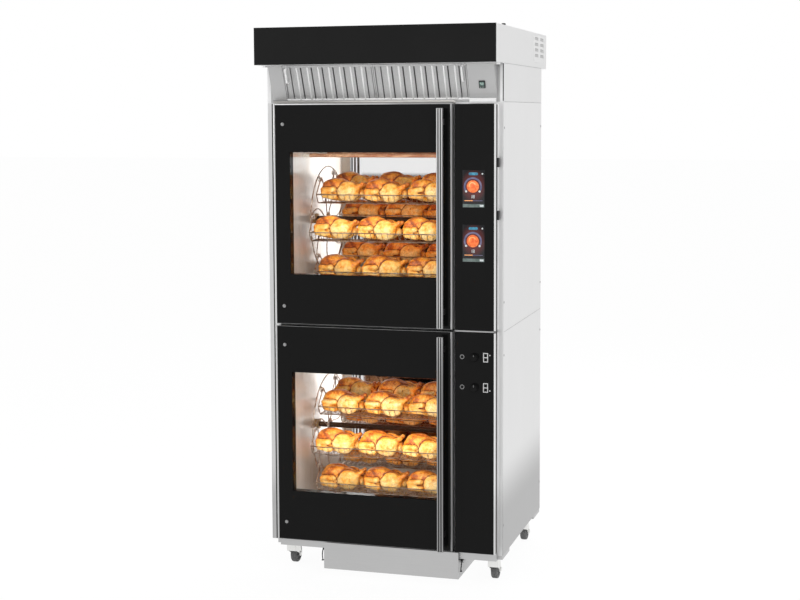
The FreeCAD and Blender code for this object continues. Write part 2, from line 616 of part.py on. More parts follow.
def loaded_basket(length, rail):
    """A cradle that hangs from two pivots, with its birds: X from the left end plate's outer face."""
    s = size
    tray = rail - 2 * s["flare"]
    bird_radius = rail / 2 - s["bird_side"]
    plate, wire = s["end_plate"], s["wire"]
    inside = length - 2 * plate
    floor = net(inside, tray)
    floor.translate(Vector(plate, -tray / 2, -s["tray_drop"]))
    rise = s["tray_drop"] - s["rail_drop"]
    solids = [floor]
    for sign in (-1, 1):
        wall = net(inside, math.hypot(s["flare"], rise))
        lean = math.degrees(math.atan2(rise, s["flare"]))
        wall.Placement = FreeCAD.Placement(Vector(), Rotation(Vector(1, 0, 0), lean))
        wall.translate(Vector(plate, tray / 2, -s["tray_drop"]))
        solids.append(wall if sign > 0 else wall.mirror(Vector(), Vector(0, 1, 0)))
    top, half = s["hanger_top"], s["hanger_width"] / 2
    edge = [(-half, top), (half, top), (rail / 2 + wire, -s["rail_drop"]),
            (tray / 2 + wire, -s["tray_drop"] - wire), (-tray / 2 - wire, -s["tray_drop"] - wire),
            (-rail / 2 - wire, -s["rail_drop"])]
    reach = s["end_clearance"] + s["disc"] + wire
    for x, way in ((0, -1), (length - plate, 1)):
        corners = [Vector(x, y, z) for y, z in edge]
        end = Part.Face(Part.makePolygon([*corners, corners[0]])).extrude(Vector(plate, 0, 0))
        root = Vector(x if way < 0 else x + plate, 0, 0)
        solids.append(end.fuse(Part.makeCylinder(s["pivot_radius"], reach, root, Vector(way, 0, 0))))
    pitch = inside / BIRDS
    bird = roast_bird(pitch - s["bird_gap"], bird_radius)
    for i in range(BIRDS):
        one = bird.copy()
        one.translate(Vector(plate + i * pitch + s["bird_gap"] / 2, 0,
                             s["seat"] + wire - s["tray_drop"] + bird_radius - s["bird_flat"]))
        solids.append(one)
    return Part.makeCompound(solids)


def baskets():
    span = (size["body_width"] - size["cavity_left"] - size["panel_margin"] - size["panel_width"]
            - size["mullion"] - size["cavity_right"])
    length = span - size["disc_gap"] - size["drive_gap"] - 2 * (size["disc"] + size["end_clearance"])
    room = (size["door_height"] - size["cavity_floor"] - size["cavity_ceiling"]) / 2
    pitch_radius = room - size["rotor_lift"] - size["rotor_room"] - size["disc_rim"]
    rail = 2 * pitch_radius * math.sin(math.pi / BASKETS) - size["basket_gap"]
    shape = loaded_basket(length, rail)
    for level, start in OVENS.items():
        for i in range(BASKETS):
            basket = doc.addObject("Part::Feature", f"{level}_basket_{i + 1}")
            basket.Shape = shape
            turn = f"(rest_angle + {i * 360 / BASKETS})"
            place(basket, "basket_x", f"rotor_y - pitch_radius * cos({turn})",
                  f"{start} + rotor_height + pitch_radius * sin({turn})")
            node(f"{level}_basket_{i + 1}", basket)


def drawer():
    wall = ("drawer_bottom", "drawer_top")
    back = "door_face + drawer_depth"
    left, right = "drawer_x", "drawer_end"
    deep = ("door_face + sheet", f"{back} - sheet")
    lip = ("flange_z", "flange_z + sheet")
    node("grease_drawer",
         box("drawer_front", (left, right), ("door_face", "door_face + sheet"),
             ("drawer_bottom", "door_bottom - sill_gap")),
         box("drawer_back", (left, right), (f"{back} - sheet", back), wall),
         box("drawer_left", (left, f"{left} + sheet"), deep, wall),
         box("drawer_right", (f"{right} - sheet", right), deep, wall),
         box("drawer_floor", (f"{left} + sheet", f"{right} - sheet"), deep,
             ("drawer_bottom", "drawer_bottom + sheet")),
         box("left_flange", (f"{left} - flange", left), ("front", back), lip),
         box("right_flange", (right, f"{right} + flange"), ("front", back), lip))
    shelf = ("flange_z - seat - runner_web", "flange_z - seat")
    runners = []
    for side, sign in SIDES.items():
        near = right if sign > 0 else left
        mark = "+" if sign > 0 else "-"
        web = f"{near} {mark} (flange + runner_gap)"
        outer = f"{web} {mark} runner_web"
        lip_x = (f"{near} + lip_gap", web) if sign > 0 else (web, f"{near} - lip_gap")
        web_x = (web, outer) if sign > 0 else (outer, web)
        aside = "(flange + seat)"
        latch = (f"{near} + {aside}", f"{near} + {aside} + latch_width")
        if sign < 0:
            latch = (f"{near} - {aside} - latch_width", f"{near} - {aside}")
        runners += [box(f"{side}_runner_web", web_x, ("front", back), (shelf[0], "base_height")),
                    box(f"{side}_runner_lip", lip_x, ("front", back), shelf),
                    box(f"{side}_latch", latch, ("front - latch_depth", "front"),
                        ("base_height - latch_height", "base_height"))]
    node("drawer_runners", *runners)


def castors():
    plates = []
    for end, y in (("front", "front + castor_front"), ("rear", "rear - castor_rear")):
        for side, sign in SIDES.items():
            name = f"{end}_{side}"
            x = "side - castor_side" if sign > 0 else "-side + castor_side"
            half = "castor_plate / 2"
            plates.append(box(f"{name}_plate", (f"{x} - {half}", f"{x} + {half}"),
                              (f"{y} - {half}", f"{y} + {half}"), ("base_height - plate", "base_height")))
            axle_y = f"{y} + trail"
            near = "wheel_width / 2 + fork_gap"
            legs = []
            for way in ("-", "+"):
                leg = padded(f"{name}_leg", "YZ_Plane", [[
                    (f"{y} - leg_root", "crown_top - crown"),
                    (f"{axle_y} - leg_foot", "axle_z - leg_foot"),
                    (f"{axle_y} + leg_foot", "axle_z - leg_foot"),
                    (f"{axle_y} + leg_foot", "axle_z + leg_foot"),
                    (f"{y} + leg_root", "crown_top - crown")]], "fork_leg")
                inner = f"{x} + {near}" if way == "+" else f"{x} - ({near}) - fork_leg"
                legs.append(place(leg, inner))
            crown = rod(f"{name}_crown", "z", (x, y, "crown_top - crown"), "crown", "crown_radius")
            axle = rod(f"{name}_axle", "x", (f"{x} - ({near})", axle_y, "axle_z"), f"2 * ({near})",
                       "axle_radius")
            node(f"{name}_fork", crown, *legs, axle)
            bore = "(axle_radius + running)"
            half = "wheel_width / 2"
            sunk = f"({half} - wheel_recess)"
            tread = "tread_width / 2"
            upper = [("hub_radius", half), ("hub_radius", sunk), ("tyre_inner", sunk), ("tyre_inner", half),
                     ("tyre_edge", half), ("wheel_radius", tread)]
            lower = [(radius, f"-({rise})") for radius, rise in reversed(upper)]
            wheel = turned(f"{name}_wheel", [(bore, half), *upper, *lower, (bore, f"-({half})")])
            place(wheel, x, axle_y, "axle_z", Vector(0, 1, 0), "90")
            node(f"{name}_wheel", wheel)
    node("castor_plates", *plates)


def check():
    failed = [o.Name for o in doc.Objects if "Invalid" in o.State or "Error" in o.State]
    if failed:
        raise RuntimeError("failed: " + ", ".join(failed))
    for obj in nodes:
        shape = obj.Shape
        if shape.isNull() or not shape.isValid() or not shape.Solids:
            raise RuntimeError("no sound solid in " + obj.Label)


base()
skins()
cavities()
controls()
hood()
doors()
rotors()
baskets()
drawer()
castors()
doc.recompute()
check()
os.makedirs("parts", exist_ok=True)
for obj in nodes:
    obj.Shape.exportStep(f"parts/{obj.Label}.step")
print(len(nodes), "sub-parts written")
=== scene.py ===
import bpy
import bmesh
import json
import math
import random
from mathutils import Euler, Matrix, Vector, noise


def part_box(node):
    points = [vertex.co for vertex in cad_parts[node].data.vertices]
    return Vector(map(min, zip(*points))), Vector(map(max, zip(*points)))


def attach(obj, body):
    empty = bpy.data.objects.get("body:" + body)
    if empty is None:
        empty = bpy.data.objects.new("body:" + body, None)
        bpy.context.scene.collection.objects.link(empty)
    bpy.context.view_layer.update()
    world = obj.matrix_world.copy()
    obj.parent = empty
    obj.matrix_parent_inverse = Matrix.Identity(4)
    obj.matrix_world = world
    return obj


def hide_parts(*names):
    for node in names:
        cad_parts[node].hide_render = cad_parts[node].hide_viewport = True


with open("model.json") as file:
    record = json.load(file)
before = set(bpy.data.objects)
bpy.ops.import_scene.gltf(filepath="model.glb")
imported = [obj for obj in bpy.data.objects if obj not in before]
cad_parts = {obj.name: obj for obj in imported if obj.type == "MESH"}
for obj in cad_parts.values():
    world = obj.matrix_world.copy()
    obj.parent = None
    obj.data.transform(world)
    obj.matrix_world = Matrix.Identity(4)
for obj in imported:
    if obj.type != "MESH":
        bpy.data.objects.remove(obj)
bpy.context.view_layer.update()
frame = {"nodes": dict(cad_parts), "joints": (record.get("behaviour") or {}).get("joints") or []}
scene = bpy.context.scene
nodes = frame["nodes"]
mm, metre = 0.001, 1000      # pieces are drawn in mm, the scene is in metres
pivots = {j["child"]: Vector(j["pos_m"]) * metre for j in frame["joints"] if "pos_m" in j}
ovens = {"lower": 153, "upper": 1093}      # bottom edge of each door
cabinet = {"side": 514, "back": 424, "roof": 2342}      # outer faces of the CAD cabinet
upright = (0, 0, 0)      # no turn
print("frame loaded:", len(nodes), "nodes")


class Flow:      # one socket of a node tree; sums on it add Math nodes
    def __init__(self, tree, socket=None):
        self.tree = tree
        self.socket = socket

    def node(self, kind, settings=None, sockets=None, out=0):
        made = self.tree.nodes.new(kind)
        for key, value in (settings or {}).items():
            if key == "stops":
                stops = made.color_ramp.elements
                for (at, colour), stop in zip((value[0], value[-1]), (stops[0], stops[1])):
                    stop.position, stop.color = at, (*colour, 1)
                for at, colour in value[1:-1]:
                    stops.new(at).color = (*colour, 1)
            else:
                setattr(made, key, value)
        for key, value in (sockets or {}).items():
            if isinstance(value, Flow):
                self.tree.links.new(value.socket, made.inputs[key])
            else:
                made.inputs[key].default_value = value
        return Flow(self.tree, made.outputs[out])

    def sum(self, operation, first, second):
        return self.node("ShaderNodeMath", {"operation": operation}, {0: first, 1: second})

    def __add__(self, other):
        return self.sum("ADD", self, other)

    def __sub__(self, other):
        return self.sum("SUBTRACT", self, other)

    def __rsub__(self, other):
        return self.sum("SUBTRACT", other, self)

    def __mul__(self, other):
        return self.sum("MULTIPLY", self, other)

    def top(self, other):
        return self.sum("MAXIMUM", self, other)

    def least(self, other):
        return self.sum("MINIMUM", self, other)

    __radd__, __rmul__ = __add__, __mul__

    def rise(self, low, high, start=0.0, end=1.0):      # smooth step from start to end
        return self.node("ShaderNodeMapRange", {"interpolation_type": "SMOOTHSTEP"},
                         {0: self, 1: low, 2: high, 3: start, 4: end})

    def tint(self, low, high):      # self runs from one colour to the other
        return self.node("ShaderNodeMix", {"data_type": "RGBA"},
                         {0: self, 6: low if isinstance(low, Flow) else (*low, 1),
                          7: high if isinstance(high, Flow) else (*high, 1)}, 2)

    def place(self, scale=(1, 1, 1)):
        where = self.node("ShaderNodeTexCoord", out="Object")
        return self.node("ShaderNodeMapping", {}, {"Vector": where, "Scale": scale})

    def axis(self, name):      # one of the Object coordinates, in metres
        return self.node("ShaderNodeSeparateXYZ", {}, {0: self.place()}, out=name)

    def cloud(self, scale=(1, 1, 1), detail=3.0, rough=0.55):
        return self.node("ShaderNodeTexNoise", {}, {"Vector": self.place(scale), "Scale": 1.0,
                                                    "Detail": detail, "Roughness": rough})

    def bump(self, height, strength, distance):
        return self.node("ShaderNodeBump", {}, {"Height": height, "Strength": strength,
                                                "Distance": distance})


def finish(name, plain, varied=None):
    made = bpy.data.materials.new(name)
    made.use_nodes = True
    shader = made.node_tree.nodes["Principled BSDF"]
    for key, value in plain.items():
        shader.inputs[key].default_value = value
    for key, value in (varied(Flow(made.node_tree)) if varied else {}).items():
        made.node_tree.links.new(value.socket, shader.inputs[key])
    return made


# Finishes, and the painted shades that darken them from place to place, in metres
grainAlong = {"x": (5, 420, 420), "z": (420, 420, 5)}


def paintedFloorShade(f):      # painted shade: steel darkens near the floor
    return f.axis("Z").rise(0.3, 0.56, 0.42, 0.0)


def lowerDoorShade(f):      # painted shade: the lower door's metal stands in less light
    return f.axis("Z").rise(0.8, 1.3, 0.5, 0.0)


def doorEdgeShade(f):      # painted shade: darker toward the foot and on the handle's side
    return f.axis("Z").rise(0.3, 1.3, 0.3, 0.0) + f.axis("X").rise(0.0, 0.1, 0.0, 0.34)


def postEdgeShade(f):      # painted shade: darker near the floor and on the left post
    return f.axis("Z").rise(0.3, 0.48, 0.2, 0.0) + f.axis("X").rise(0.0, 0.1, 0.22, 0.0)


def neckFrontShade(f):      # painted shade: the neck's front stands in the hood's shade
    x = f.axis("X")
    inside = 1 - (x * x).rise(0.2475, 0.2485)
    return inside * (1 - f.axis("Y").rise(-0.315, -0.31)) * (1 - f.axis("Z").rise(2.187, 2.188)) * 0.44


def ridgeHighlightFade(f):      # the painted highlight on the filters' ridges fades toward the foot
    return f.axis("Z").rise(2.05, 2.14, 0.34, 0.0)


def ledgeHighlight(f):      # painted highlight: the ledge is brightest near its middle and darkens toward its ends
    x = f.axis("X") - 0.1
    return (x * x).rise(0.005, 0.14, 0.0, 0.42)


def brushed(name, light, rough, along, spread=0.05, haze=0.03, metal=1.0, cast=(1, 1, 1), shade=None):
    def varied(f):
        grain = f.cloud(grainAlong[along], 4.0, 0.6)
        smudge = f.cloud((2.3, 2.3, 1.7), 4.0, 0.6)
        tone = (grain * 0.55 + smudge * 0.45).rise(0.25, 0.75)
        colour = tone.tint([(light - spread) * c for c in cast], [(light + spread) * c for c in cast])
        # a shade paints darkness into the colour, mixing it toward black
        if shade:
            colour = shade(f).tint(colour, (0, 0, 0))
        return {"Base Color": colour,
                "Roughness": grain * 0.14 + smudge * (haze * 4) + (rough - 0.07 - haze * 2),
                "Normal": f.bump(grain, 0.05, 0.0004)}
    return finish(name, {"Metallic": metal}, varied)


def enamel(name, dark, rough, speck, shine):
    def varied(f):
        dust = f.cloud((3, 3, 2.4), 5.0, 0.65)
        orange = f.cloud((260, 260, 260), 2.0)
        return {"Base Color": dust.rise(0.35, 0.8).tint([dark] * 3, [dark + speck] * 3),
                "Roughness": dust * 0.12 + (rough - 0.06),
                "Normal": f.bump(orange, 0.02, 0.0002)}
    return finish(name, {"Specular IOR Level": shine}, varied)


def moulded(name, low, high, rough, scale=900, depth=0.12, shine=0.4):
    def varied(f):
        pits = f.cloud((scale, scale, scale), 3.0)
        wear = f.cloud((14, 14, 14), 4.0, 0.6)
        return {"Base Color": wear.rise(0.3, 0.75).tint(low, high), "Roughness": pits * 0.2 + (rough - 0.1),
                "Normal": f.bump(pits, depth, 0.0003)}
    return finish(name, {"Specular IOR Level": shine}, varied)


def lit(name, low, high, strength, scale=(40, 40, 40)):
    def varied(f):
        shade = f.cloud(scale, 2.0).rise(0.3, 0.7).tint(low, high)
        return {"Base Color": shade, "Emission Color": shade}
    return finish(name, {"Emission Strength": strength, "Roughness": 0.2}, varied)


# Brushed steel: lightness, roughness, grain, spread of tone, haze, metal, cast, shade
sidePanelSteel = brushed("sidePanelSteel", 0.79, 0.42, "z", 0.025, 0.02, shade=paintedFloorShade)
hoodSteel = brushed("hoodSteel", 0.9, 0.42, "z", 0.025, 0.02, 0.4, shade=neckFrontShade)
frontSteel = brushed("frontSteel", 0.54, 0.46, "x", 0.03, 0.02)
uprightSteel = brushed("uprightSteel", 0.88, 0.44, "z", 0.03, 0.02, shade=postEdgeShade)
edgeSteel = brushed("edgeSteel", 0.74, 0.34, "z", 0.03, 0.01, shade=doorEdgeShade)
trimSteel = brushed("trimSteel", 0.78, 0.34, "z", 0.03, 0.01)
filterSteel = brushed("filterSteel", 0.47, 0.3, "z", 0.06, 0.03, 0.35)
# Matte near-white steel on the ridges, lip, foot bars and bails: painted highlights
paintedRidgeHighlight = brushed("paintedRidgeHighlight", 0.96, 0.3, "z", 0.03, 0.03, 0.0, shade=ridgeHighlightFade)
paintedHighlightSteel = brushed("paintedHighlightSteel", 0.96, 0.3, "z", 0.03, 0.03, 0.0)
filterShade = brushed("filterShade", 0.1, 0.5, "z", 0.02, 0.03)
# the ledge steel is matte and pale: a painted highlight, darkened toward its ends by painted shade
ledgeSteel = brushed("ledgeSteel", 0.9, 0.28, "x", 0.08, 0.05, 0.0, (1, 0.97, 0.92), ledgeHighlight)
handleSteel = brushed("handleSteel", 0.68, 0.3, "z", 0.03, 0.01, shade=lowerDoorShade)
grooveShade = brushed("grooveShade", 0.16, 0.4, "z", 0.02, 0.01, shade=lowerDoorShade)
screwSteel = brushed("screwSteel", 0.34, 0.38, "x", 0.06, 0.04)
hingeSteel = brushed("hingeSteel", 0.12, 0.45, "z", 0.03, 0.03)
zincPlate = brushed("zincPlate", 0.8, 0.34, "x", 0.07, 0.04, cast=(1, 1, 0.98))
bakedSteel = brushed("bakedSteel", 0.13, 0.4, "x", 0.05, 0.05, cast=(1, 0.6, 0.4))
bushBronze = brushed("bushBronze", 0.55, 0.35, "x", 0.06, 0.04, cast=(1, 0.7, 0.38))
# Enamel: darkness, roughness, speck, shine; mouldings: two tones, roughness, size and depth of the pits
fascia = enamel("fascia", 0.006, 0.42, 0.002, 0.17)
blackGlass = enamel("blackGlass", 0.0054, 0.07, 0.001, 0.11)
blackPlastic = moulded("blackPlastic", (0.012, 0.012, 0.013), (0.024, 0.024, 0.025), 0.45)
knobPlastic = moulded("knobPlastic", (0.003, 0.003, 0.003), (0.005, 0.005, 0.005), 0.5, shine=0.16)
gasketRubber = moulded("gasketRubber", (0.02, 0.019, 0.018), (0.05, 0.047, 0.043), 0.6)
treadRubber = moulded("treadRubber", (0.17, 0.17, 0.17), (0.25, 0.25, 0.25), 0.62, 500, 0.25)
jointGrey = moulded("jointGrey", (0.46, 0.46, 0.46), (0.54, 0.54, 0.54), 0.6)
hubPlastic = moulded("hubPlastic", (0.2, 0.2, 0.2), (0.28, 0.28, 0.28), 0.5)
ceramic = moulded("ceramic", (0.62, 0.58, 0.5), (0.78, 0.75, 0.69), 0.55)
motorGrey = moulded("motorGrey", (0.16, 0.17, 0.18), (0.24, 0.25, 0.26), 0.5, 300, 0.2)
printWhite = moulded("printWhite", (0.74, 0.74, 0.74), (0.86, 0.86, 0.86), 0.5, 600, 0.02)
printGrey = moulded("printGrey", (0.26, 0.26, 0.26), (0.36, 0.36, 0.36), 0.5, 600, 0.02)


def ovenSteel(f):      # streaked, stained and spattered
    streak = f.cloud((26, 26, 2.2), 5.0, 0.6)
    stain = f.cloud((5, 5, 2.6), 4.0, 0.65)
    spatter = f.cloud((150, 150, 90), 3.0, 0.6).rise(0.66, 0.74)
    film = (streak * 0.5 + stain * 0.5).rise(0.42, 0.64)
    clean = film.tint((0.9, 0.89, 0.87), (0.82, 0.77, 0.7))
    return {"Base Color": (spatter * 0.5).tint(clean, (0.3, 0.17, 0.09)),
            "Roughness": film * 0.1 + spatter * 0.2 + 0.16, "Normal": f.bump(streak, 0.03, 0.0005)}


def pane(f):      # almost clear, with faint smears
    smear = f.cloud((3.5, 3.5, 2.2), 5.0, 0.65).rise(0.5, 0.8)
    return {"Alpha": smear * 0.016 + 0.01, "Roughness": smear * 0.1 + 0.03}


def quartz(f):
    band = f.cloud((16, 60, 60), 3.0)
    return {"Base Color": band.rise(0.35, 0.7).tint((0.5, 0.2, 0.1), (0.82, 0.5, 0.3)),
            "Roughness": band * 0.2 + 0.15}


def browned(f):
    burn = f.cloud((34, 90, 90), 4.0, 0.6)
    return {"Base Color": burn.rise(0.35, 0.66).tint((0.74, 0.66, 0.58), (0.3, 0.16, 0.09)),
            "Roughness": burn * 0.25 + 0.18}


def coated(f):      # coat on the rear glass, mirrored and tinted dark bronze as painted shade behind the rows, clear along its head and its left side
    smear = f.cloud((4, 4, 2.6), 5.0, 0.65).rise(0.45, 0.8)
    foot, storey = ovens["lower"] * mm, (ovens["upper"] - ovens["lower"]) * mm
    head = f.sum("FLOORED_MODULO", f.axis("Z") - foot, storey).rise(0.56, 0.62, 1.0, 0.04)
    side = f.axis("X").rise(-0.35, -0.32, 0.04, 1.0)
    shadeBronze = smear.tint((0.34, 0.17, 0.09), (0.26, 0.12, 0.06))
    outer = f.axis("Y").rise(0.408, 0.412)      # the outer pane is smoky grey
    return {"Base Color": outer.tint(shadeBronze, (0.13, 0.13, 0.135)), "Roughness": smear * 0.1 + 0.02,
            "Alpha": head.least(side)}


cavitySteel = finish("cavitySteel", {"Metallic": 0.55}, ovenSteel)
mirrorGlass = finish("mirrorGlass", {"Metallic": 1.0}, coated)
clearGlass = finish("clearGlass", {"Base Color": (0.02, 0.024, 0.023, 1), "Specular IOR Level": 0.6}, pane)
heaterQuartz = finish("heaterQuartz", {"Coat Weight": 0.4, "Metallic": 0.35}, quartz)
basketWire = finish("basketWire", {"Metallic": 1.0}, browned)
lampGlass = lit("lampGlass", (0.9, 0.72, 0.45), (1.0, 0.86, 0.62), 1.1)
print("finishes made:", len(bpy.data.materials))


# Work pieces, in mm
def turnTo(axis):
    return {"x": Matrix.Rotation(math.radians(90), 4, "Y"), "-x": Matrix.Rotation(math.radians(-90), 4, "Y"),
            "-y": Matrix.Rotation(math.radians(90), 4, "X"), "z": Matrix.Identity(4)}[axis]


class Stock:      # shapes gathered in one mesh
    def __init__(self):
        self.bm = bmesh.new()

    def seal(self, faces, mat):
        for face in faces:
            face.material_index = mat
        return faces

    def block(self, low, high, edge=0.0, mat=0, steps=2):
        before = set(self.bm.faces)
        verts = bmesh.ops.create_cube(self.bm, size=1)["verts"]
        low, high = Vector(low), Vector(high)
        for v in verts:
            v.co = Vector([l + (h - l) * (c + 0.5) for l, h, c in zip(low, high, v.co)])
        if edge:
            edges = list(dict.fromkeys(e for v in verts for e in v.link_edges))
            bmesh.ops.bevel(self.bm, geom=edges, offset=edge, segments=steps, profile=0.5, affect="EDGES")
        return self.seal([f for f in self.bm.faces if f not in before], mat)

    def bar(self, x, y, z, edge=0.0, mat=0, steps=2):      # a block from its three spans
        return self.block(*zip(x, y, z), edge, mat, steps)

    def prism(self, outline, axis, low, high, mat=0):
        put = {"x": lambda p, h: (h, p[0], p[1]), "y": lambda p, h: (p[0], h, p[1]),
               "z": lambda p, h: (p[0], p[1], h)}[axis]
        rings = [[self.bm.verts.new(put(p, h)) for p in outline] for h in (low, high)]
        faces = [self.bm.faces.new(rings[0]), self.bm.faces.new(rings[1])]
        for i in range(len(outline)):
            k = (i + 1) % len(outline)
            faces.append(self.bm.faces.new((rings[0][i], rings[0][k], rings[1][k], rings[1][i])))
        bmesh.ops.recalc_face_normals(self.bm, faces=faces)
        return self.seal(faces, mat)

    def lathe(self, profile, at, axis="z", mat=0, steps=40):
        turn = Matrix.Translation(Vector(at)) @ turnTo(axis)
        rings = []
        angles = [2 * math.pi * i / steps for i in range(steps)]
        for radius, height in profile:
            ring = [(radius * math.cos(a), radius * math.sin(a), height) for a in angles]
            ring = ring[:1] if radius < 1e-6 else ring      # a pole is one point
            rings.append([self.bm.verts.new(turn @ Vector(p)) for p in ring])
        faces = []
        for a, b in zip(rings, rings[1:]):
            for i in range(steps):
                k = (i + 1) % steps
                loop = [a[i % len(a)], a[k % len(a)], b[k % len(b)], b[i % len(b)]]
                loop = list(dict.fromkeys(loop))
                if len(loop) > 2:
                    faces.append(self.bm.faces.new(loop))
        bmesh.ops.recalc_face_normals(self.bm, faces=faces)
        return self.seal(faces, mat)

    def add(self, mesh, matrix=Matrix.Identity(4), mat=0):      # a mesh that is in metres
        taken = mesh.copy()
        taken.transform(matrix @ Matrix.Scale(metre, 4))
        taken.polygons.foreach_set("material_index", [mat] * len(taken.polygons))
        self.bm.from_mesh(taken)
        bpy.data.meshes.remove(taken)

    def mesh(self, name, matrix=Matrix.Identity(4)):
        bmesh.ops.transform(self.bm, matrix=Matrix.Scale(mm, 4) @ matrix, verts=self.bm.verts)
        made = bpy.data.meshes.new(name)
        self.bm.to_mesh(made)
        self.bm.free()
        return made


def piece(name, mesh, body, mats=(), stands=(), smooth=32):
    mesh.polygons.foreach_set("use_smooth", [True] * len(mesh.polygons))
    mesh.set_sharp_from_angle(angle=math.radians(smooth))
    if mats:
        marks = [p.material_index for p in mesh.polygons]
        mesh.materials.clear()
        for mat in mats:
            mesh.materials.append(mat)
        mesh.polygons.foreach_set("material_index", marks)
    mesh.update()
    made = bpy.data.objects.new(name, mesh)
    scene.collection.objects.link(made)
    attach(made, body)
    if stands:
        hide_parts(*stands)
    return made


def settle(made):      # the evaluated object as a plain mesh
    bpy.context.view_layer.update()
    seen = bpy.context.evaluated_depsgraph_get()
    mesh = bpy.data.meshes.new_from_object(made.evaluated_get(seen), depsgraph=seen)
    made.modifiers.clear()
    bpy.data.objects.remove(made)
    return mesh


# Geometry Nodes trees
def growth(name, inputs):
    tree = bpy.data.node_groups.new(name, "GeometryNodeTree")
    tree.interface.new_socket("Geometry", in_out="INPUT", socket_type="NodeSocketGeometry")
    for title, kind, value in inputs:
        made = tree.interface.new_socket(title, in_out="INPUT", socket_type="NodeSocket" + kind)
        if value is not None:
            made.default_value = value
    tree.interface.new_socket("Geometry", in_out="OUTPUT", socket_type="NodeSocketGeometry")
    flow = Flow(tree)
    given = tree.nodes.new("NodeGroupInput")
    return tree, flow, {s.name: Flow(tree, s) for s in given.outputs if s.name}


def closeTree(tree, shape, given):
    whole = shape.node("GeometryNodeRealizeInstances", {}, {"Geometry": shape})
    dressed = whole.node("GeometryNodeSetMaterial", {}, {"Geometry": whole, "Material": given["Finish"]})
    end = tree.nodes.new("NodeGroupOutput")
    tree.links.new(dressed.socket, end.inputs[0])
    return tree


def wireTree():      # round wire along the edges of the seed mesh, corners bent to a radius
    tree, f, given = growth("bentWire", [("Radius", "Float", 0.002), ("Bend", "Float", 0.004),
                                         ("Sides", "Int", 8), ("Finish", "Material", None)])
    path = f.node("GeometryNodeMeshToCurve", {}, {0: given["Geometry"]})
    bent = f.node("GeometryNodeFilletCurve", {"mode": "POLY"},
                  {"Curve": path, "Radius": given["Bend"], "Limit Radius": True, "Count": 4})
    section = f.node("GeometryNodeCurvePrimitiveCircle", {"mode": "RADIUS"},
                     {"Resolution": given["Sides"], "Radius": given["Radius"]})
    body = f.node("GeometryNodeCurveToMesh", {}, {"Curve": bent, "Profile Curve": section, "Fill Caps": True})
    return closeTree(tree, body, given)


def scatterTree():      # one part on every point of the seed mesh, turned by the points' own angles
    tree, f, given = growth("setOut", [("Part", "Object", None), ("Spin", "Float", 0.0), ("Seed", "Int", 1),
                                       ("Finish", "Material", None)])
    part = f.node("GeometryNodeObjectInfo", {"transform_space": "ORIGINAL"}, {"Object": given["Part"]},
                  out="Geometry")
    turn = f.node("GeometryNodeInputNamedAttribute", {"data_type": "FLOAT_VECTOR"}, {"Name": "turn"})
    rows = f.node("GeometryNodeInstanceOnPoints", {}, {"Points": given["Geometry"], "Instance": part,
                                                       "Rotation": turn})
    chance = f.node("FunctionNodeRandomValue", {"data_type": "FLOAT"},
                    {"Min": 0.0, "Max": given["Spin"], "Seed": given["Seed"]}, out=1)
    spin = f.node("ShaderNodeCombineXYZ", {}, {"Z": chance})
    spun = f.node("GeometryNodeRotateInstances", {},
                  {"Instances": rows, "Rotation": spin, "Local Space": True})
    return closeTree(tree, spun, given)


bentWire, setOut = wireTree(), scatterTree()


def grow(tree, seed, **values):
    holder = bpy.data.objects.new("holder", seed)
    scene.collection.objects.link(holder)
    mod = holder.modifiers.new("grow", "NODES")
    mod.node_group = tree
    for item in tree.interface.items_tree:
        if item.in_out == "INPUT" and item.name in values:
            mod[item.identifier] = values[item.name]
    return settle(holder)


def wires(paths, radius, mat, bend=0.0, sides=8):      # paths in mm: (points, closed)
    seed = bpy.data.meshes.new("paths")
    points, edges = [], []
    for path, closed in paths:
        start = len(points)
        points += [tuple(c * mm for c in p) for p in path]
        edges += [(start + i, start + i + 1) for i in range(len(path) - 1)]
        if closed:
            edges.append((len(points) - 1, start))
    seed.from_pydata(points, edges, [])
    return grow(bentWire, seed, Radius=radius * mm, Bend=bend * mm, Sides=sides, Finish=mat)


def setOutParts(mesh, spots, mat, spin=0.0, seed=1):      # spots in mm: (place, Euler angles in degrees)
    part = bpy.data.objects.new("part", mesh)
    scene.collection.objects.link(part)
    points = bpy.data.meshes.new("spots")
    points.from_pydata([tuple(c * mm for c in at) for at, turn in spots], [], [])
    turns = points.attributes.new("turn", "FLOAT_VECTOR", "POINT")
    turns.data.foreach_set("vector", [math.radians(a) for at, turn in spots for a in turn])
    made = grow(setOut, points, Part=part, Spin=spin, Seed=seed, Finish=mat)
    bpy.data.objects.remove(part)
    return made


def carve(base, tool):      # the base without the tool's shape
    made, knife = (bpy.data.objects.new(n, m) for n, m in (("base", base), ("knife", tool)))
    for each in (made, knife):
        scene.collection.objects.link(each)
    mod = made.modifiers.new("carve", "BOOLEAN")
    mod.operation, mod.object, mod.solver = "DIFFERENCE", knife, "EXACT"
    done = settle(made)
    bpy.data.objects.remove(knife)
    return done


# Outlines and spans
def arc(centre, radius, start, end, steps):
    angles = [math.radians(start + (end - start) * i / steps) for i in range(steps + 1)]
    return [(centre[0] + radius * math.cos(a), centre[1] + radius * math.sin(a)) for a in angles]


def ringSpots(radius, count, turn):      # spots round a circle, each turned with its angle
    ring = arc((0, 0), radius, 0, 360, count)[:-1]
    return [((x, y, 0), (0, 0, 360 * i / count + turn)) for i, (x, y) in enumerate(ring)]


def bothWays(half):      # a closed lathe profile from its upper half
    whole = [(r, -h) for r, h in half] + half[::-1]
    return whole + whole[:1]


def moved(span, by):      # a span carried along its axis
    return tuple(v + by for v in span)


def outward(near, sign, steps):      # a span given by its steps to the left or right of a place
    return sorted(near + sign * step for step in steps)


def grown(opening, by):      # x0, x1, z0, z1 with every side moved out
    x0, x1, z0, z1 = opening
    return x0 - by, x1 + by, z0 - by, z1 + by


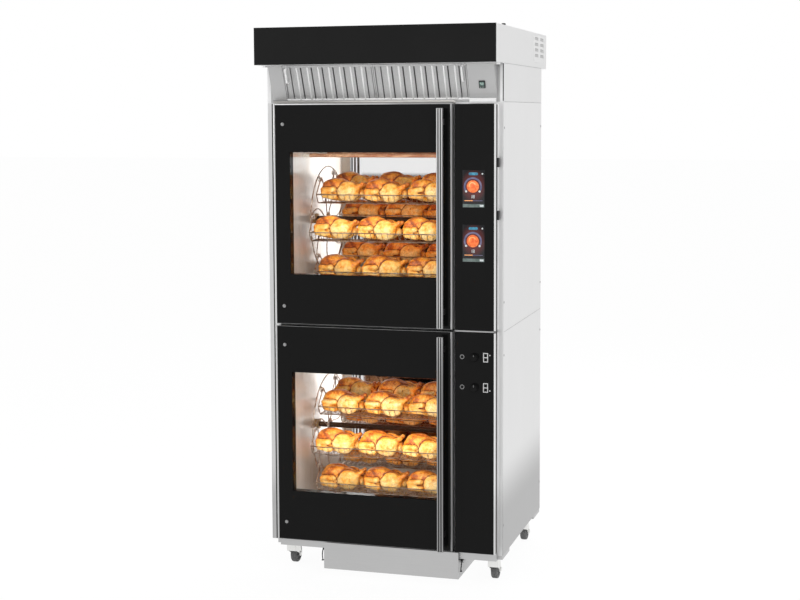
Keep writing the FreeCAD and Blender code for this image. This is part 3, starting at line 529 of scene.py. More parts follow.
def frameOf(shape, outer, inner, y, mat=0, edge=0.0):      # four bars round an opening: x0, x1, z0, z1
    (a, b, c, d), (e, f, g, h) = outer, inner
    for x, z in (((a, e), (c, d)), ((f, b), (c, d)), ((e, f), (c, g)), ((e, f), (h, d))):
        shape.bar(x, y, z, edge, mat)


# Finishes of the CAD nodes that stay
kept = {
    sidePanelSteel: ("side_panels", "rear_panels"),
    hoodSteel: ("hood_casing",),
    frontSteel: ("base_frame", "grease_drawer"),
    uprightSteel: ("front_frames",),
    cavitySteel: ("cavity_liners",),
    blackGlass: ("control_panels", "upper_door_leaf", "lower_door_leaf"),
    clearGlass: ("upper_door_window", "lower_door_window"),
    mirrorGlass: ("rear_windows",),
    fascia: ("hood_fascia",),
    hingeSteel: ("hinge_brackets",),
    zincPlate: ("castor_plates",),
    bushBronze: ("rotor_bearings",),
    motorGrey: ("drive_motors", "hood_fan_motor"),
}
for mat, names in kept.items():
    for name in names:
        nodes[name].data.materials.clear()
        nodes[name].data.materials.append(mat)


# Screws with a cross recess
screw = {"radius": 5.0, "height": 1.5, "slot": 1.1, "reach": 2.7, "depth": 1.1, "steps": 16, "spin": 1.5,
         "front": -375, "back": 413, "rises": (113, 832), "sideTurns": {1: (0, 90, 0), -1: (0, -90, 0)},
         "rearColumns": (-500, -250, 0, 250, 500), "rearRows": (150, 1076, 1100, 2020),
         "edgeColumns": (-500, 500), "edgeRows": (460, 770, 1400, 1710, 2110), "rearTurn": (-90, 0, 0),
         "roofColumns": (-496, -166, 166, 440), "roofRows": (-505, 515)}


def screwHead():
    head, cross = Stock(), Stock()
    r, h = screw["radius"], screw["height"]
    dome = [(0, 0), (r, 0), (r, h * 0.25), (r * 0.86, h * 0.7), (r * 0.5, h * 0.95), (0, h)]
    head.lathe(dome, (0, 0, 0), steps=screw["steps"])
    w, l = screw["slot"] / 2, screw["reach"]
    cross.prism([(-w, -l), (w, -l), (w, -w), (l, -w), (l, w), (w, w), (w, l), (-w, l), (-w, w), (-l, w),
                 (-l, -w), (-w, -w)], "z", h - screw["depth"], h + 1)
    return carve(head.mesh("head"), cross.mesh("cross"))


screwMesh = screwHead()
sideSpots = [((sign * cabinet["side"], y, start + rise), screw["sideTurns"][sign]) for sign in (1, -1)
             for start in ovens.values() for rise in screw["rises"] for y in (screw["front"], screw["back"])]
rearSpots = [((x, cabinet["back"], z), screw["rearTurn"]) for columns, rows in (("rearColumns", "rearRows"),
             ("edgeColumns", "edgeRows")) for x in screw[columns] for z in screw[rows]]
roofSpots = [((x, y, cabinet["roof"]), upright) for x in screw["roofColumns"] for y in screw["roofRows"]]
for name, spots, seed, stands in (("panel_screw_heads", sideSpots, 1, ("panel_screws",)),
                                  ("rear_screw_heads", rearSpots, 2, ()),
                                  ("hood_roof_screws", roofSpots, 3, ())):
    heads = setOutParts(screwMesh.copy(), spots, screwSteel, screw["spin"], seed)
    piece(name, heads, "cabinet", stands=stands)
print("screws set")


# Side vents of the hood: pressed louvres in a thin plate, each over a dark strip painted as the shade in its
# slit
vent = {"y": (240, 494), "z": (2214, 2330), "plate": 0.5, "edge": 0.2, "columns": (305, 429), "rows": 4,
        "pitch": 25, "first": 2235, "louvre": (78, 10, 1.0), "bends": 8,
        "turns": {1: (90, 0, 90), -1: (90, 0, -90)}, "slitHalf": 36, "slitRise": (10.2, 13.6),
        "slitFaces": (0.1, 0.06)}


def louvre():
    long, tall, out = vent["louvre"]
    shape = Stock()
    rows = []
    for i in range(vent["bends"] + 1):
        t = i / vent["bends"]
        swell = math.sin(math.pi * t) ** 0.5
        x = (t - 0.5) * long
        rows.append([(x, 0, 0), (x, tall * 0.5, out * 0.75 * swell), (x, tall, out * swell), (x, tall, 0.05)])
    verts = [[shape.bm.verts.new(p) for p in row] for row in rows]
    for a, b in zip(verts, verts[1:]):
        for i in range(len(a) - 1):
            shape.bm.faces.new((a[i], b[i], b[i + 1], a[i + 1]))
    bmesh.ops.recalc_face_normals(shape.bm, faces=shape.bm.faces)
    return shape.mesh("louvre")


louvreMesh = louvre()
for side, sign in (("left", -1), ("right", 1)):
    inner, outer = cabinet["side"], cabinet["side"] + vent["plate"]
    plate = Stock()
    plate.bar(outward(0, sign, (inner, outer)), vent["y"], vent["z"], vent["edge"])
    piece(f"{side}_vent_plate", plate.mesh("plate"), "cabinet", (sidePanelSteel,))
    spots = [((sign * outer, y, vent["first"] + i * vent["pitch"]), vent["turns"][sign])
             for y in vent["columns"] for i in range(vent["rows"])]
    louvres = setOutParts(louvreMesh.copy(), spots, filterSteel)
    piece(f"{side}_vent_louvres", louvres, "cabinet")
    slitShades = Stock()
    x = outward(0, sign, (inner + vent["slitFaces"][0], outer + vent["slitFaces"][1]))
    for (_, y, z), _ in spots:
        slitShades.bar(x, (y - vent["slitHalf"], y + vent["slitHalf"]), moved(vent["slitRise"], z))
    piece(f"{side}_vent_slits", slitShades.mesh("slitShades"), "cabinet", (screwSteel,))


# Drip ledge under the filters, with a rolled front
ledge = {"x": (-478, 312), "front": -409, "back": -389, "z": (2027, 2039.4), "roll": (260, 100)}
low, high = ledge["z"]
half = (high - low) / 2
nose = arc((ledge["front"] + half, low + half), half, *ledge["roll"], 8)
shape = Stock()
shape.prism([(ledge["back"], low), *nose, (ledge["back"], high)], "x", *ledge["x"])
piece("drip_ledge", shape.mesh("ledge"), "cabinet", (ledgeSteel,))

# Lip beside the ledge, matte white as a painted highlight, strips over the bank's ends and the strip between
# the two panels
strips = {"panel_top_lip": {"x": [(372, 484)], "y": (-398, -384), "z": (2026, 2047), "edge": 1.5,
                            "finish": paintedHighlightSteel},
          "bank_head_strips": {"x": [(-513, -424.5), (372.5, 513)], "y": (-452, -447), "z": (2180.5, 2187.8),
                               "edge": 0.4, "finish": hoodSteel},
          "panel_joint_strip": {"x": [(319.5, 484)], "y": (-429.5, -392), "z": (1085, 1091.4), "edge": 1.2,
                                "finish": edgeSteel}}
for name, strip in strips.items():
    shape = Stock()
    for x in strip["x"]:
        shape.bar(x, strip["y"], strip["z"], strip["edge"])
    piece(name, shape.mesh("strip"), "cabinet", (strip["finish"],))
print("hood trim made")


# Black strips: painted shadow in the gaps beside the doors, beside the panel and between the doors, and a
# dark line at the neck's corner seam: x, y, z and edge
shadowStrips = {"post": ((-496, -490.5), (-386.5, -385.9), (140, 2029), 0.2),
         "panel": ((491.8, 492.3), (-429.5, -406), (156, 2020), 0.15),
         "neck": ((509.5, 513.5), (-386.6, -385.9), (2034, 2186), 0.2),
         "doors": ((-464, 307), (-390.6, -386.1), (1084, 1092), 0.3)}
shape = Stock()
for x, y, z, edge in shadowStrips.values():
    shape.bar(x, y, z, edge)
piece("front_seal_strips", shape.mesh("shadowStrips"), "cabinet", (gasketRubber,))

# Panel joints and rounded corners on the sides
seams = {"joints": (1083, 2031, 2188), "joint": (-0.9, 0.9), "sunk": 0.1, "proud": 0.25, "y": (-384, 422),
         "corner": 3.0, "cornerAt": (514.5, -386.6), "cornerZ": (138.5, 2030.5)}
joints, corners = Stock(), Stock()
for sign in (-1, 1):
    x = outward(0, sign, (cabinet["side"] - seams["sunk"], cabinet["side"] + seams["proud"]))
    for z in seams["joints"]:
        joints.bar(x, seams["y"], moved(seams["joint"], z))
    r = seams["corner"]
    centre = (seams["cornerAt"][0] - r, seams["cornerAt"][1] + r)
    bow = [(sign * x, y) for x, y in arc(centre, r, -90, 0, 8) + [centre]]
    corners.prism(bow, "z", *seams["cornerZ"])
piece("side_panel_joints", joints.mesh("joints"), "cabinet", (jointGrey,))
piece("rounded_corners", corners.mesh("corners"), "cabinet", (sidePanelSteel,))
print("seams made")


# Baffle filters
filterSizes = {"slope": 24, "foot": (-386, 2040), "starts": {"left": -423.5, "right": -25.5}, "width": 397,
               "length": 155, "front": 1, "depth": 14, "side": 6, "end": 4, "edge": 1.0, "sheet": 2,
               "bar": (0.2, 3), "barEdge": 0.6, "footBar": 9, "headFlange": 5,
               "baffles": 7, "baffle": 42.5, "crest": 3, "pitch": 47.6, "first": 55.7, "ends": (3, 1.5),
               "half": 22.5, "halfCrest": -1.5, "halves": (19.3, 377.7), "bead": (6.5, 1.6, 3.7),
               "beadEnds": (4, 3), "bail": {"left": 17, "right": 380}, "bailRise": (84, 90, 150),
               "bailReach": (3, -18), "bend": 6, "wire": 4.2}
bankTurn = Matrix.Rotation(math.radians(filterSizes["slope"]), 4, "X")


def baffle(half, crest):
    outer = [(-half, 9), (-half, 4), (-half + 0.7, 2.9), (-half + 1.8, 2.3), (crest, 0.7), (crest + 3, 0.7),
             (half - 1.8, 2.7), (half - 0.7, 3.3), (half, 4.4), (half, 9)]
    inner = [(x * 0.955, y + 0.9) for x, y in reversed(outer)]
    shape = Stock()
    shape.prism(outer + inner, "z", filterSizes["ends"][0], filterSizes["length"] - filterSizes["ends"][1])
    return shape.mesh("baffle")


def baffleFilter(side):
    s = filterSizes
    w, l, d, e, t = (s[key] for key in ("width", "length", "depth", "side", "end"))
    body = Stock()
    for x, z in (((0, w), (0, t)), ((0, w), (l - t, l)), ((0, e), (t, l - t)), ((w - e, w), (t, l - t))):
        body.bar(x, (s["front"], d), z, s["edge"])
    # the foot bar is matte white, a painted highlight
    body.bar((0, w), s["bar"], (0, s["footBar"]), s["barEdge"], 3)
    body.bar((0, w), s["bar"], (l - s["headFlange"], l + s["headFlange"]), s["barEdge"])
    # dark sheet behind the baffles: painted shade in the gaps
    body.bar((e, w - e), (d - s["sheet"], d), (t, l - t), 0, 1)
    rows = [s["first"] + i * s["pitch"] for i in range(s["baffles"])]
    for mesh, places in ((baffleMesh, rows), (halfMesh, s["halves"])):
        body.add(setOutParts(mesh.copy(), [((x, 0, 0), upright) for x in places], filterSteel))
    # a bead on each baffle's crest, matte white as a painted highlight
    along, deep, thick = s["bead"]
    foot, head = s["beadEnds"]
    beads = [([(x + along, deep, foot), (x + along, deep, l - head)], False) for x in rows]
    body.add(wires(beads, thick, paintedRidgeHighlight), mat=2)
    # the bail is matte white, a painted highlight
    x, (near, reach), (foot, knee, top) = s["bail"][side], s["bailReach"], s["bailRise"]
    bail = [(x, near, foot), (x, reach, knee), (x, reach, top), (x, near, top)]
    body.add(wires([(bail, False)], s["wire"], paintedHighlightSteel, s["bend"]), mat=3)
    return body.mesh("filter", Matrix.Translation((s["starts"][side], *s["foot"])) @ bankTurn)


baffleMesh = baffle(filterSizes["baffle"] / 2, filterSizes["crest"])
halfMesh = baffle(filterSizes["half"] / 2, filterSizes["halfCrest"])
for side in filterSizes["starts"]:
    piece(f"{side}_baffle_filter", baffleFilter(side), f"{side}_filter",
          (filterSteel, filterShade, paintedRidgeHighlight, paintedHighlightSteel), (f"{side}_filter",))


# Small display on the right blank
badge = {"x": 417, "rise": 52, "width": 26, "height": 32, "depth": 6, "edge": 1.4,
         "glass": {"side": 3.5, "foot": 12, "head": 4, "y": (-0.15, 0.3), "edge": 0.1},
         "figures": {"text": "42", "at": (6, 15), "height": 10, "y": (-0.3, 0)},
         "keys": {"x": (6, 13, 20), "rise": 6, "profile": [(0, 0), (1.7, 0), (1.7, 0.5), (0, 0.7)]}}
lcdGreen = lit("lcdGreen", (0.05, 0.09, 0.08), (0.09, 0.15, 0.13), 0.35)
lcdDark = lit("lcdDark", (0.3, 0.42, 0.38), (0.4, 0.5, 0.46), 0.5)
segments = {"1": "bc", "2": "abged", "4": "fgbc", "8": "abcdefg"}      # the bars of each figure in use


def digits(shape, text, at, height, mat, y):      # plain seven-bar figures, x and z from at
    wide, bar = height * 0.55, height * 0.13
    for n, mark in enumerate(text):
        x = at[0] + n * wide * 1.45
        z, h = at[1], height / 2
        left, right, across = (x, x + bar), (x + wide - bar, x + wide), (x, x + wide)
        lower, upper = (z, z + h), (z + h, z + 2 * h)
        bars = {"a": (across, (z + 2 * h - bar, z + 2 * h)), "d": (across, (z, z + bar)),
                "g": (across, (z + h - bar / 2, z + h + bar / 2)), "f": (left, upper), "e": (left, lower),
                "b": (right, upper), "c": (right, lower)}
        for key in segments[mark]:
            shape.bar(bars[key][0], y, bars[key][1], 0, mat)


def statusDisplay():
    shape = Stock()
    face, foot, head = -badge["depth"], badge["rise"], badge["rise"] + badge["height"]
    shape.bar((0, badge["width"]), (face, 0), (foot, head), badge["edge"], 0, 3)
    glass, figures, keys = badge["glass"], badge["figures"], badge["keys"]
    shape.bar((glass["side"], badge["width"] - glass["side"]), moved(glass["y"], face),
              (foot + glass["foot"], head - glass["head"]), glass["edge"], 1)
    x, z = figures["at"]
    digits(shape, figures["text"], (x, foot + z), figures["height"], 2, moved(figures["y"], face))
    for x in keys["x"]:
        shape.lathe(keys["profile"], (x, face, foot + keys["rise"]), "-y", 2, 16)
    return shape.mesh("badge", Matrix.Translation((badge["x"], *filterSizes["foot"])) @ bankTurn)


piece("hood_status_display", statusDisplay(), "cabinet", (blackPlastic, lcdGreen, lcdDark),
      ("hood_display",))
print("filters and display made")


# Touch screens: an own plain layout of dial, pill, figures and bar, placed from the middle and the foot
screenSizes = {"x": (352, 444), "rises": {"lower": 1376, "upper": 1600}, "height": 153, "y": (-431.6, -430.9),
               "edge": 0.25, "lift": 0.06, "sunk": 0.1,
               "dial": {"at": (-3, 86), "disc": 25.5, "ring": (31, 38), "sweep": (-35, 215),
                        "dots": (34.5, 4.5)},
               "swirl": {"at": (-2, 3), "ring": (11, 15), "sweep": (20, 200)},
               "pill": {"ends": (13, -15), "rise": 138, "radius": 5.5, "dot": 3.4, "dotIn": 9},
               "figures": {"text": "18", "at": (-13, 38), "height": 13},
               "slider": {"inset": 8, "z": (27, 29.2), "doneZ": (26.6, 29.6), "doneEnd": -4},
               "footBar": {"inset": 0.8, "z": (1, 14), "keys": {(3, 22): 5, (72, 88): 6},
                           "keyZ": (3.5, 11.5)},
               "halo": {"rise": 88, "wide": 17.0, "tall": 13.5, "fade": (0.12, 1.0)}}


def screenGlow(f):      # a red halo round each dial
    s = screenSizes["halo"]
    middle = sum(screenSizes["x"]) / 2
    x, z = f.axis("X"), f.axis("Z")
    halo = None
    for rise in screenSizes["rises"].values():
        dx = (x - middle * mm) * s["wide"]
        dz = (z - (rise + s["rise"]) * mm) * s["tall"]
        one = 1 - (dx * dx + dz * dz).rise(*s["fade"])
        halo = one if halo is None else halo.top(one)
    colour = halo.tint((0.002, 0.002, 0.003), (0.06, 0.011, 0.011))
    return {"Base Color": colour, "Emission Color": colour}


screenBack = finish("screenBack", {"Emission Strength": 0.9, "Roughness": 0.12}, screenGlow)
dialOrange = lit("dialOrange", (0.62, 0.09, 0.018), (0.8, 0.21, 0.05), 0.5, (90, 90, 90))
dialPeach = lit("dialPeach", (0.85, 0.33, 0.1), (0.95, 0.42, 0.18), 0.5, (80, 80, 80))
ringViolet = lit("ringViolet", (0.07, 0.075, 0.15), (0.14, 0.12, 0.2), 0.5, (50, 50, 50))
pillBlue = lit("pillBlue", (0.015, 0.12, 0.2), (0.06, 0.28, 0.4), 0.5, (70, 70, 70))
barGreen = lit("barGreen", (0.07, 0.1, 0.09), (0.13, 0.165, 0.155), 0.4, (50, 50, 50))
figureWhite = lit("figureWhite", (0.5, 0.54, 0.55), (0.6, 0.64, 0.64), 0.35)
screenMats = (screenBack, dialOrange, dialPeach, ringViolet, pillBlue, barGreen, figureWhite)


def flatRing(shape, centre, radii, sweep, y, mat, steps=40):
    inner, outer = (arc(centre, radius, *sweep, steps) for radius in radii)
    shape.prism(outer + inner[::-1], "y", *y, mat)


def flatDisc(shape, centre, radius, y, mat, steps=20):
    shape.prism(arc(centre, radius, 0, 360, steps)[:-1], "y", *y, mat)


def touchScreen(rise):
    s = screenSizes
    (x0, x1), front, up = s["x"], s["y"][0], s["lift"]
    middle = (x0 + x1) / 2
    sheet, over = (front - up, front + s["sunk"]), (front - 2 * up, front)      # printed in two layers
    shape = Stock()
    shape.bar(s["x"], s["y"], (rise, rise + s["height"]), s["edge"])
    dial, swirl, pill = s["dial"], s["swirl"], s["pill"]
    centre = (middle + dial["at"][0], rise + dial["at"][1])
    flatRing(shape, centre, dial["ring"], dial["sweep"], sheet, 3)
    flatDisc(shape, centre, dial["disc"], sheet, 1, 48)
    within = (centre[0] + swirl["at"][0], centre[1] + swirl["at"][1])
    flatRing(shape, within, swirl["ring"], swirl["sweep"], over, 2, 24)
    for angle in reversed(dial["sweep"]):
        flatDisc(shape, arc(centre, dial["dots"][0], angle, angle, 1)[0], dial["dots"][1], over, 6)
    right, left = ((middle + end, rise + pill["rise"]) for end in pill["ends"])
    rim = arc(right, pill["radius"], -90, 90, 10) + arc(left, pill["radius"], 90, 270, 10)
    shape.prism(rim, "y", *sheet, 4)
    flatDisc(shape, (x1 - pill["dotIn"], rise + pill["rise"]), pill["dot"], sheet, 6)
    figures, slider, foot = s["figures"], s["slider"], s["footBar"]
    x, z = figures["at"]
    digits(shape, figures["text"], (middle + x, rise + z), figures["height"], 6, sheet)
    shape.bar((x0 + slider["inset"], x1 - slider["inset"]), sheet, moved(slider["z"], rise), 0, 3)
    shape.bar((x0 + slider["inset"], middle + slider["doneEnd"]), over, moved(slider["doneZ"], rise), 0, 2)
    shape.bar((x0 + foot["inset"], x1 - foot["inset"]), sheet, moved(foot["z"], rise), 0, 5)
    for x, mat in foot["keys"].items():
        shape.bar(moved(x, x0), over, moved(foot["keyZ"], rise), 0, mat)
    return shape.mesh("screen")


for level, rise in screenSizes["rises"].items():
    piece(f"{level}_touch_display", touchScreen(rise), "cabinet", screenMats,
          ("touch_screens",) if level == "lower" else ())


# Printed signs beside the knobs: a plain ring, a two-pane frame and a dot at its upper or lower pane
signs = {"ringX": 349.5, "ring": (6.4, 9.6), "frameX": 449, "half": (10.5, 19.5), "bar": 3.6,
         "y": (-431.15, -430.9), "dotX": 18, "dot": 2.6, "rises": {981: 10, 855: -12}}
shape = Stock()
for rise, dotRise in signs["rises"].items():
    flatRing(shape, (signs["ringX"], rise), signs["ring"], (0, 359.9), signs["y"], 1)
    x, (w, h), bar = signs["frameX"], signs["half"], signs["bar"]
    outline = (x - w, x + w, rise - h, rise + h)
    frameOf(shape, outline, grown(outline, -bar), signs["y"])
    shape.bar((x - w + bar, x + w - bar), signs["y"], (rise - bar / 2, rise + bar / 2))
    flatDisc(shape, (x + signs["dotX"], rise + dotRise), signs["dot"], signs["y"], 0, 16)
piece("panel_signs", shape.mesh("signs"), "cabinet", (printWhite, printGrey))
print("screens and signs made")


# Rotary knobs: skirt, ribbed grip and a pointer
knobSizes = {"radius": 18, "grip": 14.4, "height": 22, "ribs": 28, "rib": (0.9, 0.45, 0.9),
             "ribRise": (9, 20.5), "ribSunk": 0.2, "pointer": ((-0.9, 0.9), (4, 12.5), (-0.5, 0)),
             "edge": 0.2, "face": -431.3}
foot, crest, tall = knobSizes["rib"]
rib = Stock()
rib.prism([(-foot, 0), (foot, 0), (crest, tall), (-crest, tall)], "z", *knobSizes["ribRise"])
ribMesh = rib.mesh("rib")
for level in ovens:
    r, g, h = knobSizes["radius"], knobSizes["grip"], knobSizes["height"]
    shape = Stock()
    shape.lathe([(0, 0), (r, 0), (r, 3.5), (r - 0.8, 5.2), (g + 1, 7.2), (g, 8.6), (g - 0.4, h - 2),
                 (g - 1.6, h - 0.5), (g - 3, h), (0, h - 0.6)], (0, 0, 0), "z", 0, 56)
    ribs = ringSpots(g - knobSizes["ribSunk"], knobSizes["ribs"], -90)
    shape.add(setOutParts(ribMesh.copy(), ribs, knobPlastic))
    x, y, z = knobSizes["pointer"]
    shape.bar(x, y, moved(z, h), knobSizes["edge"], 1)
    knob = f"{level}_knob"
    put = Matrix.Translation((pivots[knob].x, knobSizes["face"], pivots[knob].z)) @ turnTo("-y")
    piece(f"{level}_control_knob", shape.mesh("knob", put), knob, (knobPlastic, printGrey),
          (knob,))

# Port covers with a finger grip
port = {"rises": (1549, 1765), "x": (492, 500.6), "y": (-421.5, -395.5), "z": (0, 38), "edge": 2.2,
        "grips": 4, "gripX": (500.2, 501), "gripY": (-417, -400), "gripZ": (6, 7.4), "pitch": 3.2,
        "gripEdge": 0.3}
shape = Stock()
for rise in port["rises"]:
    shape.bar(port["x"], port["y"], moved(port["z"], rise), port["edge"], 0, 3)
    for i in range(port["grips"]):
        z = moved(port["gripZ"], rise + i * port["pitch"])
        shape.bar(port["gripX"], port["gripY"], z, port["gripEdge"])
piece("port_cover_caps", shape.mesh("ports"), "cabinet", (blackPlastic,), ("port_covers",))

# Cable gland on the roof: collar and domed nut round a clear bore
gland = {"at": (490, -283), "bore": 6, "nut": 8.9, "waist": 8.2, "crown": 7, "height": 12}
b, n, w, c, h = (gland[key] for key in ("bore", "nut", "waist", "crown", "height"))
shape = Stock()
shape.lathe([(b, 0), (n, 0), (n, 3.4), (w, 4), (w, 5), (n, 5.6), (n, 8), (w, 10.2), (c, h), (b, h), (b, 0)],
            (*gland["at"], cabinet["roof"]), "z", 0, 36)
piece("roof_gland", shape.mesh("gland"), "cabinet", (blackPlastic,), ("cable_gland",))
print("controls made")


# Doors: edge trim, glass fixings, gasket, inner frame and fluted handle
doorSizes = {"x": (-465, 307), "height": 930, "face": -431, "back": -391, "window": (-400, 255, 214, 731),
             "caps": {"lower": 0, "upper": 6},
             "trim": {"left": 8, "right": 7, "proud": 0.9, "leftWrap": 3, "rightWrap": 1, "capWrap": 6,
                      "capGap": 1, "skin": 0.8, "leftSkin": 12, "rightGap": 2, "edge": 0.8, "rightEdge": 0.7},
             "line": {"y": (-0.5, 1), "head": (-1.6, 0.3), "foot": (-0.3, 1.5), "edge": 0.3},
             "fixing": {"x": -431, "rises": (76, 849), "radius": 7.8, "sunk": 0.05},
             "inner": {"inset": 4, "clear": 6, "y": (0.02, 0.9)},
             "bead": {"width": 5, "y": (0.02, 2.2), "edge": 0.6},
             "seal": {"x": (-448, 298), "y": -388.6, "z": (34, 772), "radius": 2.1, "bend": 18, "sides": 10},
             "handle": {"x": 254, "width": 26, "front": -486, "back": -468, "z": (9, 912), "ribs": 3,
                        "rib": 3.0, "pitch": 10, "groove": 8.0, "cap": (0.4, 2.2), "capHalf": 0.6,
                        "capEdge": 0.5, "feet": (60, 844), "foot": 26, "footInset": 5, "footSunk": 0.5,
                        "footEdge": 3}}


def opening(start):      # the window of the oven that starts there: x0, x1, z0, z1
    a, b, c, d = doorSizes["window"]
    return a, b, start + c, start + d


def doorTrim(start, top, cap):      # finishes: edge steel, painted shade on the side skins, grey lines at head and foot
    left, right = doorSizes["x"]
    face, trim, line = doorSizes["face"], doorSizes["trim"], doorSizes["line"]
    front, inside, outside = face - trim["proud"], right - trim["right"], right + trim["proud"]
    leftWrap, rightWrap, tall = face + trim["leftWrap"], face + trim["rightWrap"], (start, top)
    shape = Stock()
    shape.bar((left - trim["left"], left), (front, leftWrap), (start, top + cap), trim["edge"])
    shape.bar((inside, outside), (front, rightWrap), tall, trim["rightEdge"])
    shape.bar((right, right + trim["skin"]), (rightWrap, doorSizes["back"] - trim["rightGap"]), tall, 0, 1)
    shape.bar((left - trim["skin"], left), (leftWrap, face + trim["leftSkin"]), tall, 0, 1)
    if cap:
        capTop = top + cap - trim["capGap"]
        shape.bar((left, outside), (front, face + trim["capWrap"]), (top, capTop), trim["edge"])
    else:
        shape.bar((left, inside), moved(line["y"], face), moved(line["head"], top), line["edge"], 2)
    shape.bar((left, inside), moved(line["y"], face), moved(line["foot"], start), line["edge"], 2)
    return shape.mesh("trim")


def flutedHandle(start):      # finishes: handle steel, end caps, painted shade in the grooves
    s = doorSizes["handle"]
    x0, x1, front, back, r = s["x"], s["x"] + s["width"], s["front"], s["back"], s["rib"]
    profile = [(x0 + 1, back), (x0, back - 1), (x0, front + r)]
    for i in range(s["ribs"]):
        centre = x0 + r + i * s["pitch"]
        profile += arc((centre, front + r), r, 180, 360, 8)
        if i < s["ribs"] - 1:
            profile += [(centre + r, front + s["groove"]), (centre + s["pitch"] - r, front + s["groove"])]
    profile += [(x1, back - 1), (x1 - 1, back)]
    shape = Stock()
    # faces deep in the grooves take the painted shade
    for face in shape.prism(profile, "z", *moved(s["z"], start))[2:]:
        mid = face.calc_center_median()
        if x0 + 1 < mid.x < x1 - 1 and front + r + 0.2 < mid.y < back - 2:
            face.material_index = 2
    side, behind = s["cap"]
    for end in moved(s["z"], start):
        z = (end - s["capHalf"], end + s["capHalf"])
        shape.bar((x0 + side, x1 - side), (front + behind, back - side), z, s["capEdge"], 1)
    for rise in moved(s["feet"], start):
        shape.bar((x0 + s["footInset"], x1 - s["footInset"]), (back - s["footSunk"], doorSizes["face"]),
                  (rise, rise + s["foot"]), s["footEdge"], 0, 3)
    return shape.mesh("handle")


for level, start in ovens.items():
    s = doorSizes
    body = f"{level}_door"
    top = start + s["height"]
    piece(f"{level}_door_trim", doorTrim(start, top, s["caps"][level]), body,
          (edgeSteel, grooveShade, hubPlastic))
    fixing = s["fixing"]
    r = fixing["radius"]
    shape = Stock()
    for rise in fixing["rises"]:
        shape.lathe([(0, 0), (r, 0), (r, 1.2), (r * 0.93, 2.2), (r * 0.6, 3.1), (0, 3.4)],
                    (fixing["x"], s["face"] + fixing["sunk"], start + rise), "-y", 0, 40)
    piece(f"{level}_glass_fixings", shape.mesh("fixings"), body, (screwSteel,))
    inner = s["inner"]
    shape = Stock()
    frameOf(shape, grown((*s["x"], start, top), -inner["inset"]), grown(opening(start), inner["clear"]),
            moved(inner["y"], s["back"]))
    piece(f"{level}_door_inner_frame", shape.mesh("inner"), body, (uprightSteel,))
    seal = s["seal"]
    (x0, x1), (z0, z1), y = seal["x"], moved(seal["z"], start), seal["y"]
    path = [(x0, y, z0), (x1, y, z0), (x1, y, z1), (x0, y, z1)]
    gasket = wires([(path, True)], seal["radius"], gasketRubber, seal["bend"], seal["sides"])
    piece(f"{level}_door_gasket", gasket, body, (gasketRubber,))
    bead = s["bead"]
    shape = Stock()
    frameOf(shape, grown(opening(start), bead["width"]), opening(start), moved(bead["y"], s["back"]),
            edge=bead["edge"])
    piece(f"{level}_pane_bead", shape.mesh("bead"), body, (gasketRubber,))
    piece(f"{level}_fluted_handle", flutedHandle(start), body, (handleSteel, uprightSteel, grooveShade),
          (f"{level}_door_handle",))
print("doors made")


# Heating tubes: quartz sleeve, coil wound round it and ceramic ends
heater = {"spread": 120, "axle": -16, "x": (-440, 290), "end": 26, "sleeve": 0.92, "steps": 28,
          "coil": {"points": 900, "step": 0.7, "ride": 0.98, "wire": 0.5, "sides": 3}}
low, high = (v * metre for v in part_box("heating_elements"))
heater["radius"] = (high.y - low.y - 2 * heater["spread"]) / 2
heater["rise"] = high.z - heater["radius"] - ovens["upper"]


def heatingTube(shape, y, z):
    (x0, x1), r, e, steps, coil = (heater[key] for key in ("x", "radius", "end", "steps", "coil"))
    long, sleeve = x1 - x0 - 2 * e, r * heater["sleeve"]
    shape.lathe([(0, 0), (sleeve, 0), (sleeve, long), (0, long)], (x0 + e, y, z), "x", 0, steps)
    waist = r * 0.9
    for x in (x0, x1 - e):
        shape.lathe([(0, 0), (r, 0), (r, 5), (waist, 6), (waist, e - 6), (r, e - 5), (r, e), (0, e)],
                    (x, y, z), "x", 1, steps)
    path = [(x0 + e + long * i / coil["points"], y + r * coil["ride"] * math.cos(i * coil["step"]),
             z + r * coil["ride"] * math.sin(i * coil["step"])) for i in range(coil["points"] + 1)]
    shape.add(wires([(path, False)], coil["wire"], basketWire, 0, coil["sides"]), mat=2)


shape = Stock()
for start in ovens.values():
    for y in (heater["axle"] - heater["spread"], heater["axle"] + heater["spread"]):
        heatingTube(shape, y, start + heater["rise"])
piece("heating_tubes", shape.mesh("heaters"), "cabinet", (heaterQuartz, ceramic, basketWire),
      ("heating_elements",))

# Oven lamps: domed lens in a bezel
ovenLamp = {"x": 290, "y": (-323, 335), "rise": 640,
            "lens": [(0, 6), (14, 5.6), (24, 4.2), (30, 2.5), (30, 0), (0, 0)],
            "bezel": [(29, 0), (36, 0), (36, 2.5), (34, 4.5), (31, 5.2), (29, 4.4)]}
shape = Stock()
for start in ovens.values():
    for y in ovenLamp["y"]:
        for mat, profile in enumerate((ovenLamp["lens"], ovenLamp["bezel"])):
            shape.lathe(profile, (ovenLamp["x"], y, start + ovenLamp["rise"]), "-x", mat, 40)
piece("oven_lamp_lenses", shape.mesh("lamps"), "cabinet", (lampGlass, trimSteel),
      ("cavity_lamps",))

# Rear window posts and beads
rearGlass = {"bead": 4, "y": (424, 426), "edge": 0.5, "posts": ((-383, -375), (-367, -357)),
             "postY": (402, 410), "postEdge": 1}
shape = Stock()
for start in ovens.values():
    frameOf(shape, grown(opening(start), rearGlass["bead"]), grown(opening(start), -rearGlass["bead"]),
            rearGlass["y"], 0, rearGlass["edge"])
    for x in rearGlass["posts"]:
        shape.bar(x, rearGlass["postY"], opening(start)[2:], rearGlass["postEdge"], 1)
piece("rear_window_beads", shape.mesh("beads"), "cabinet", (uprightSteel, hubPlastic))


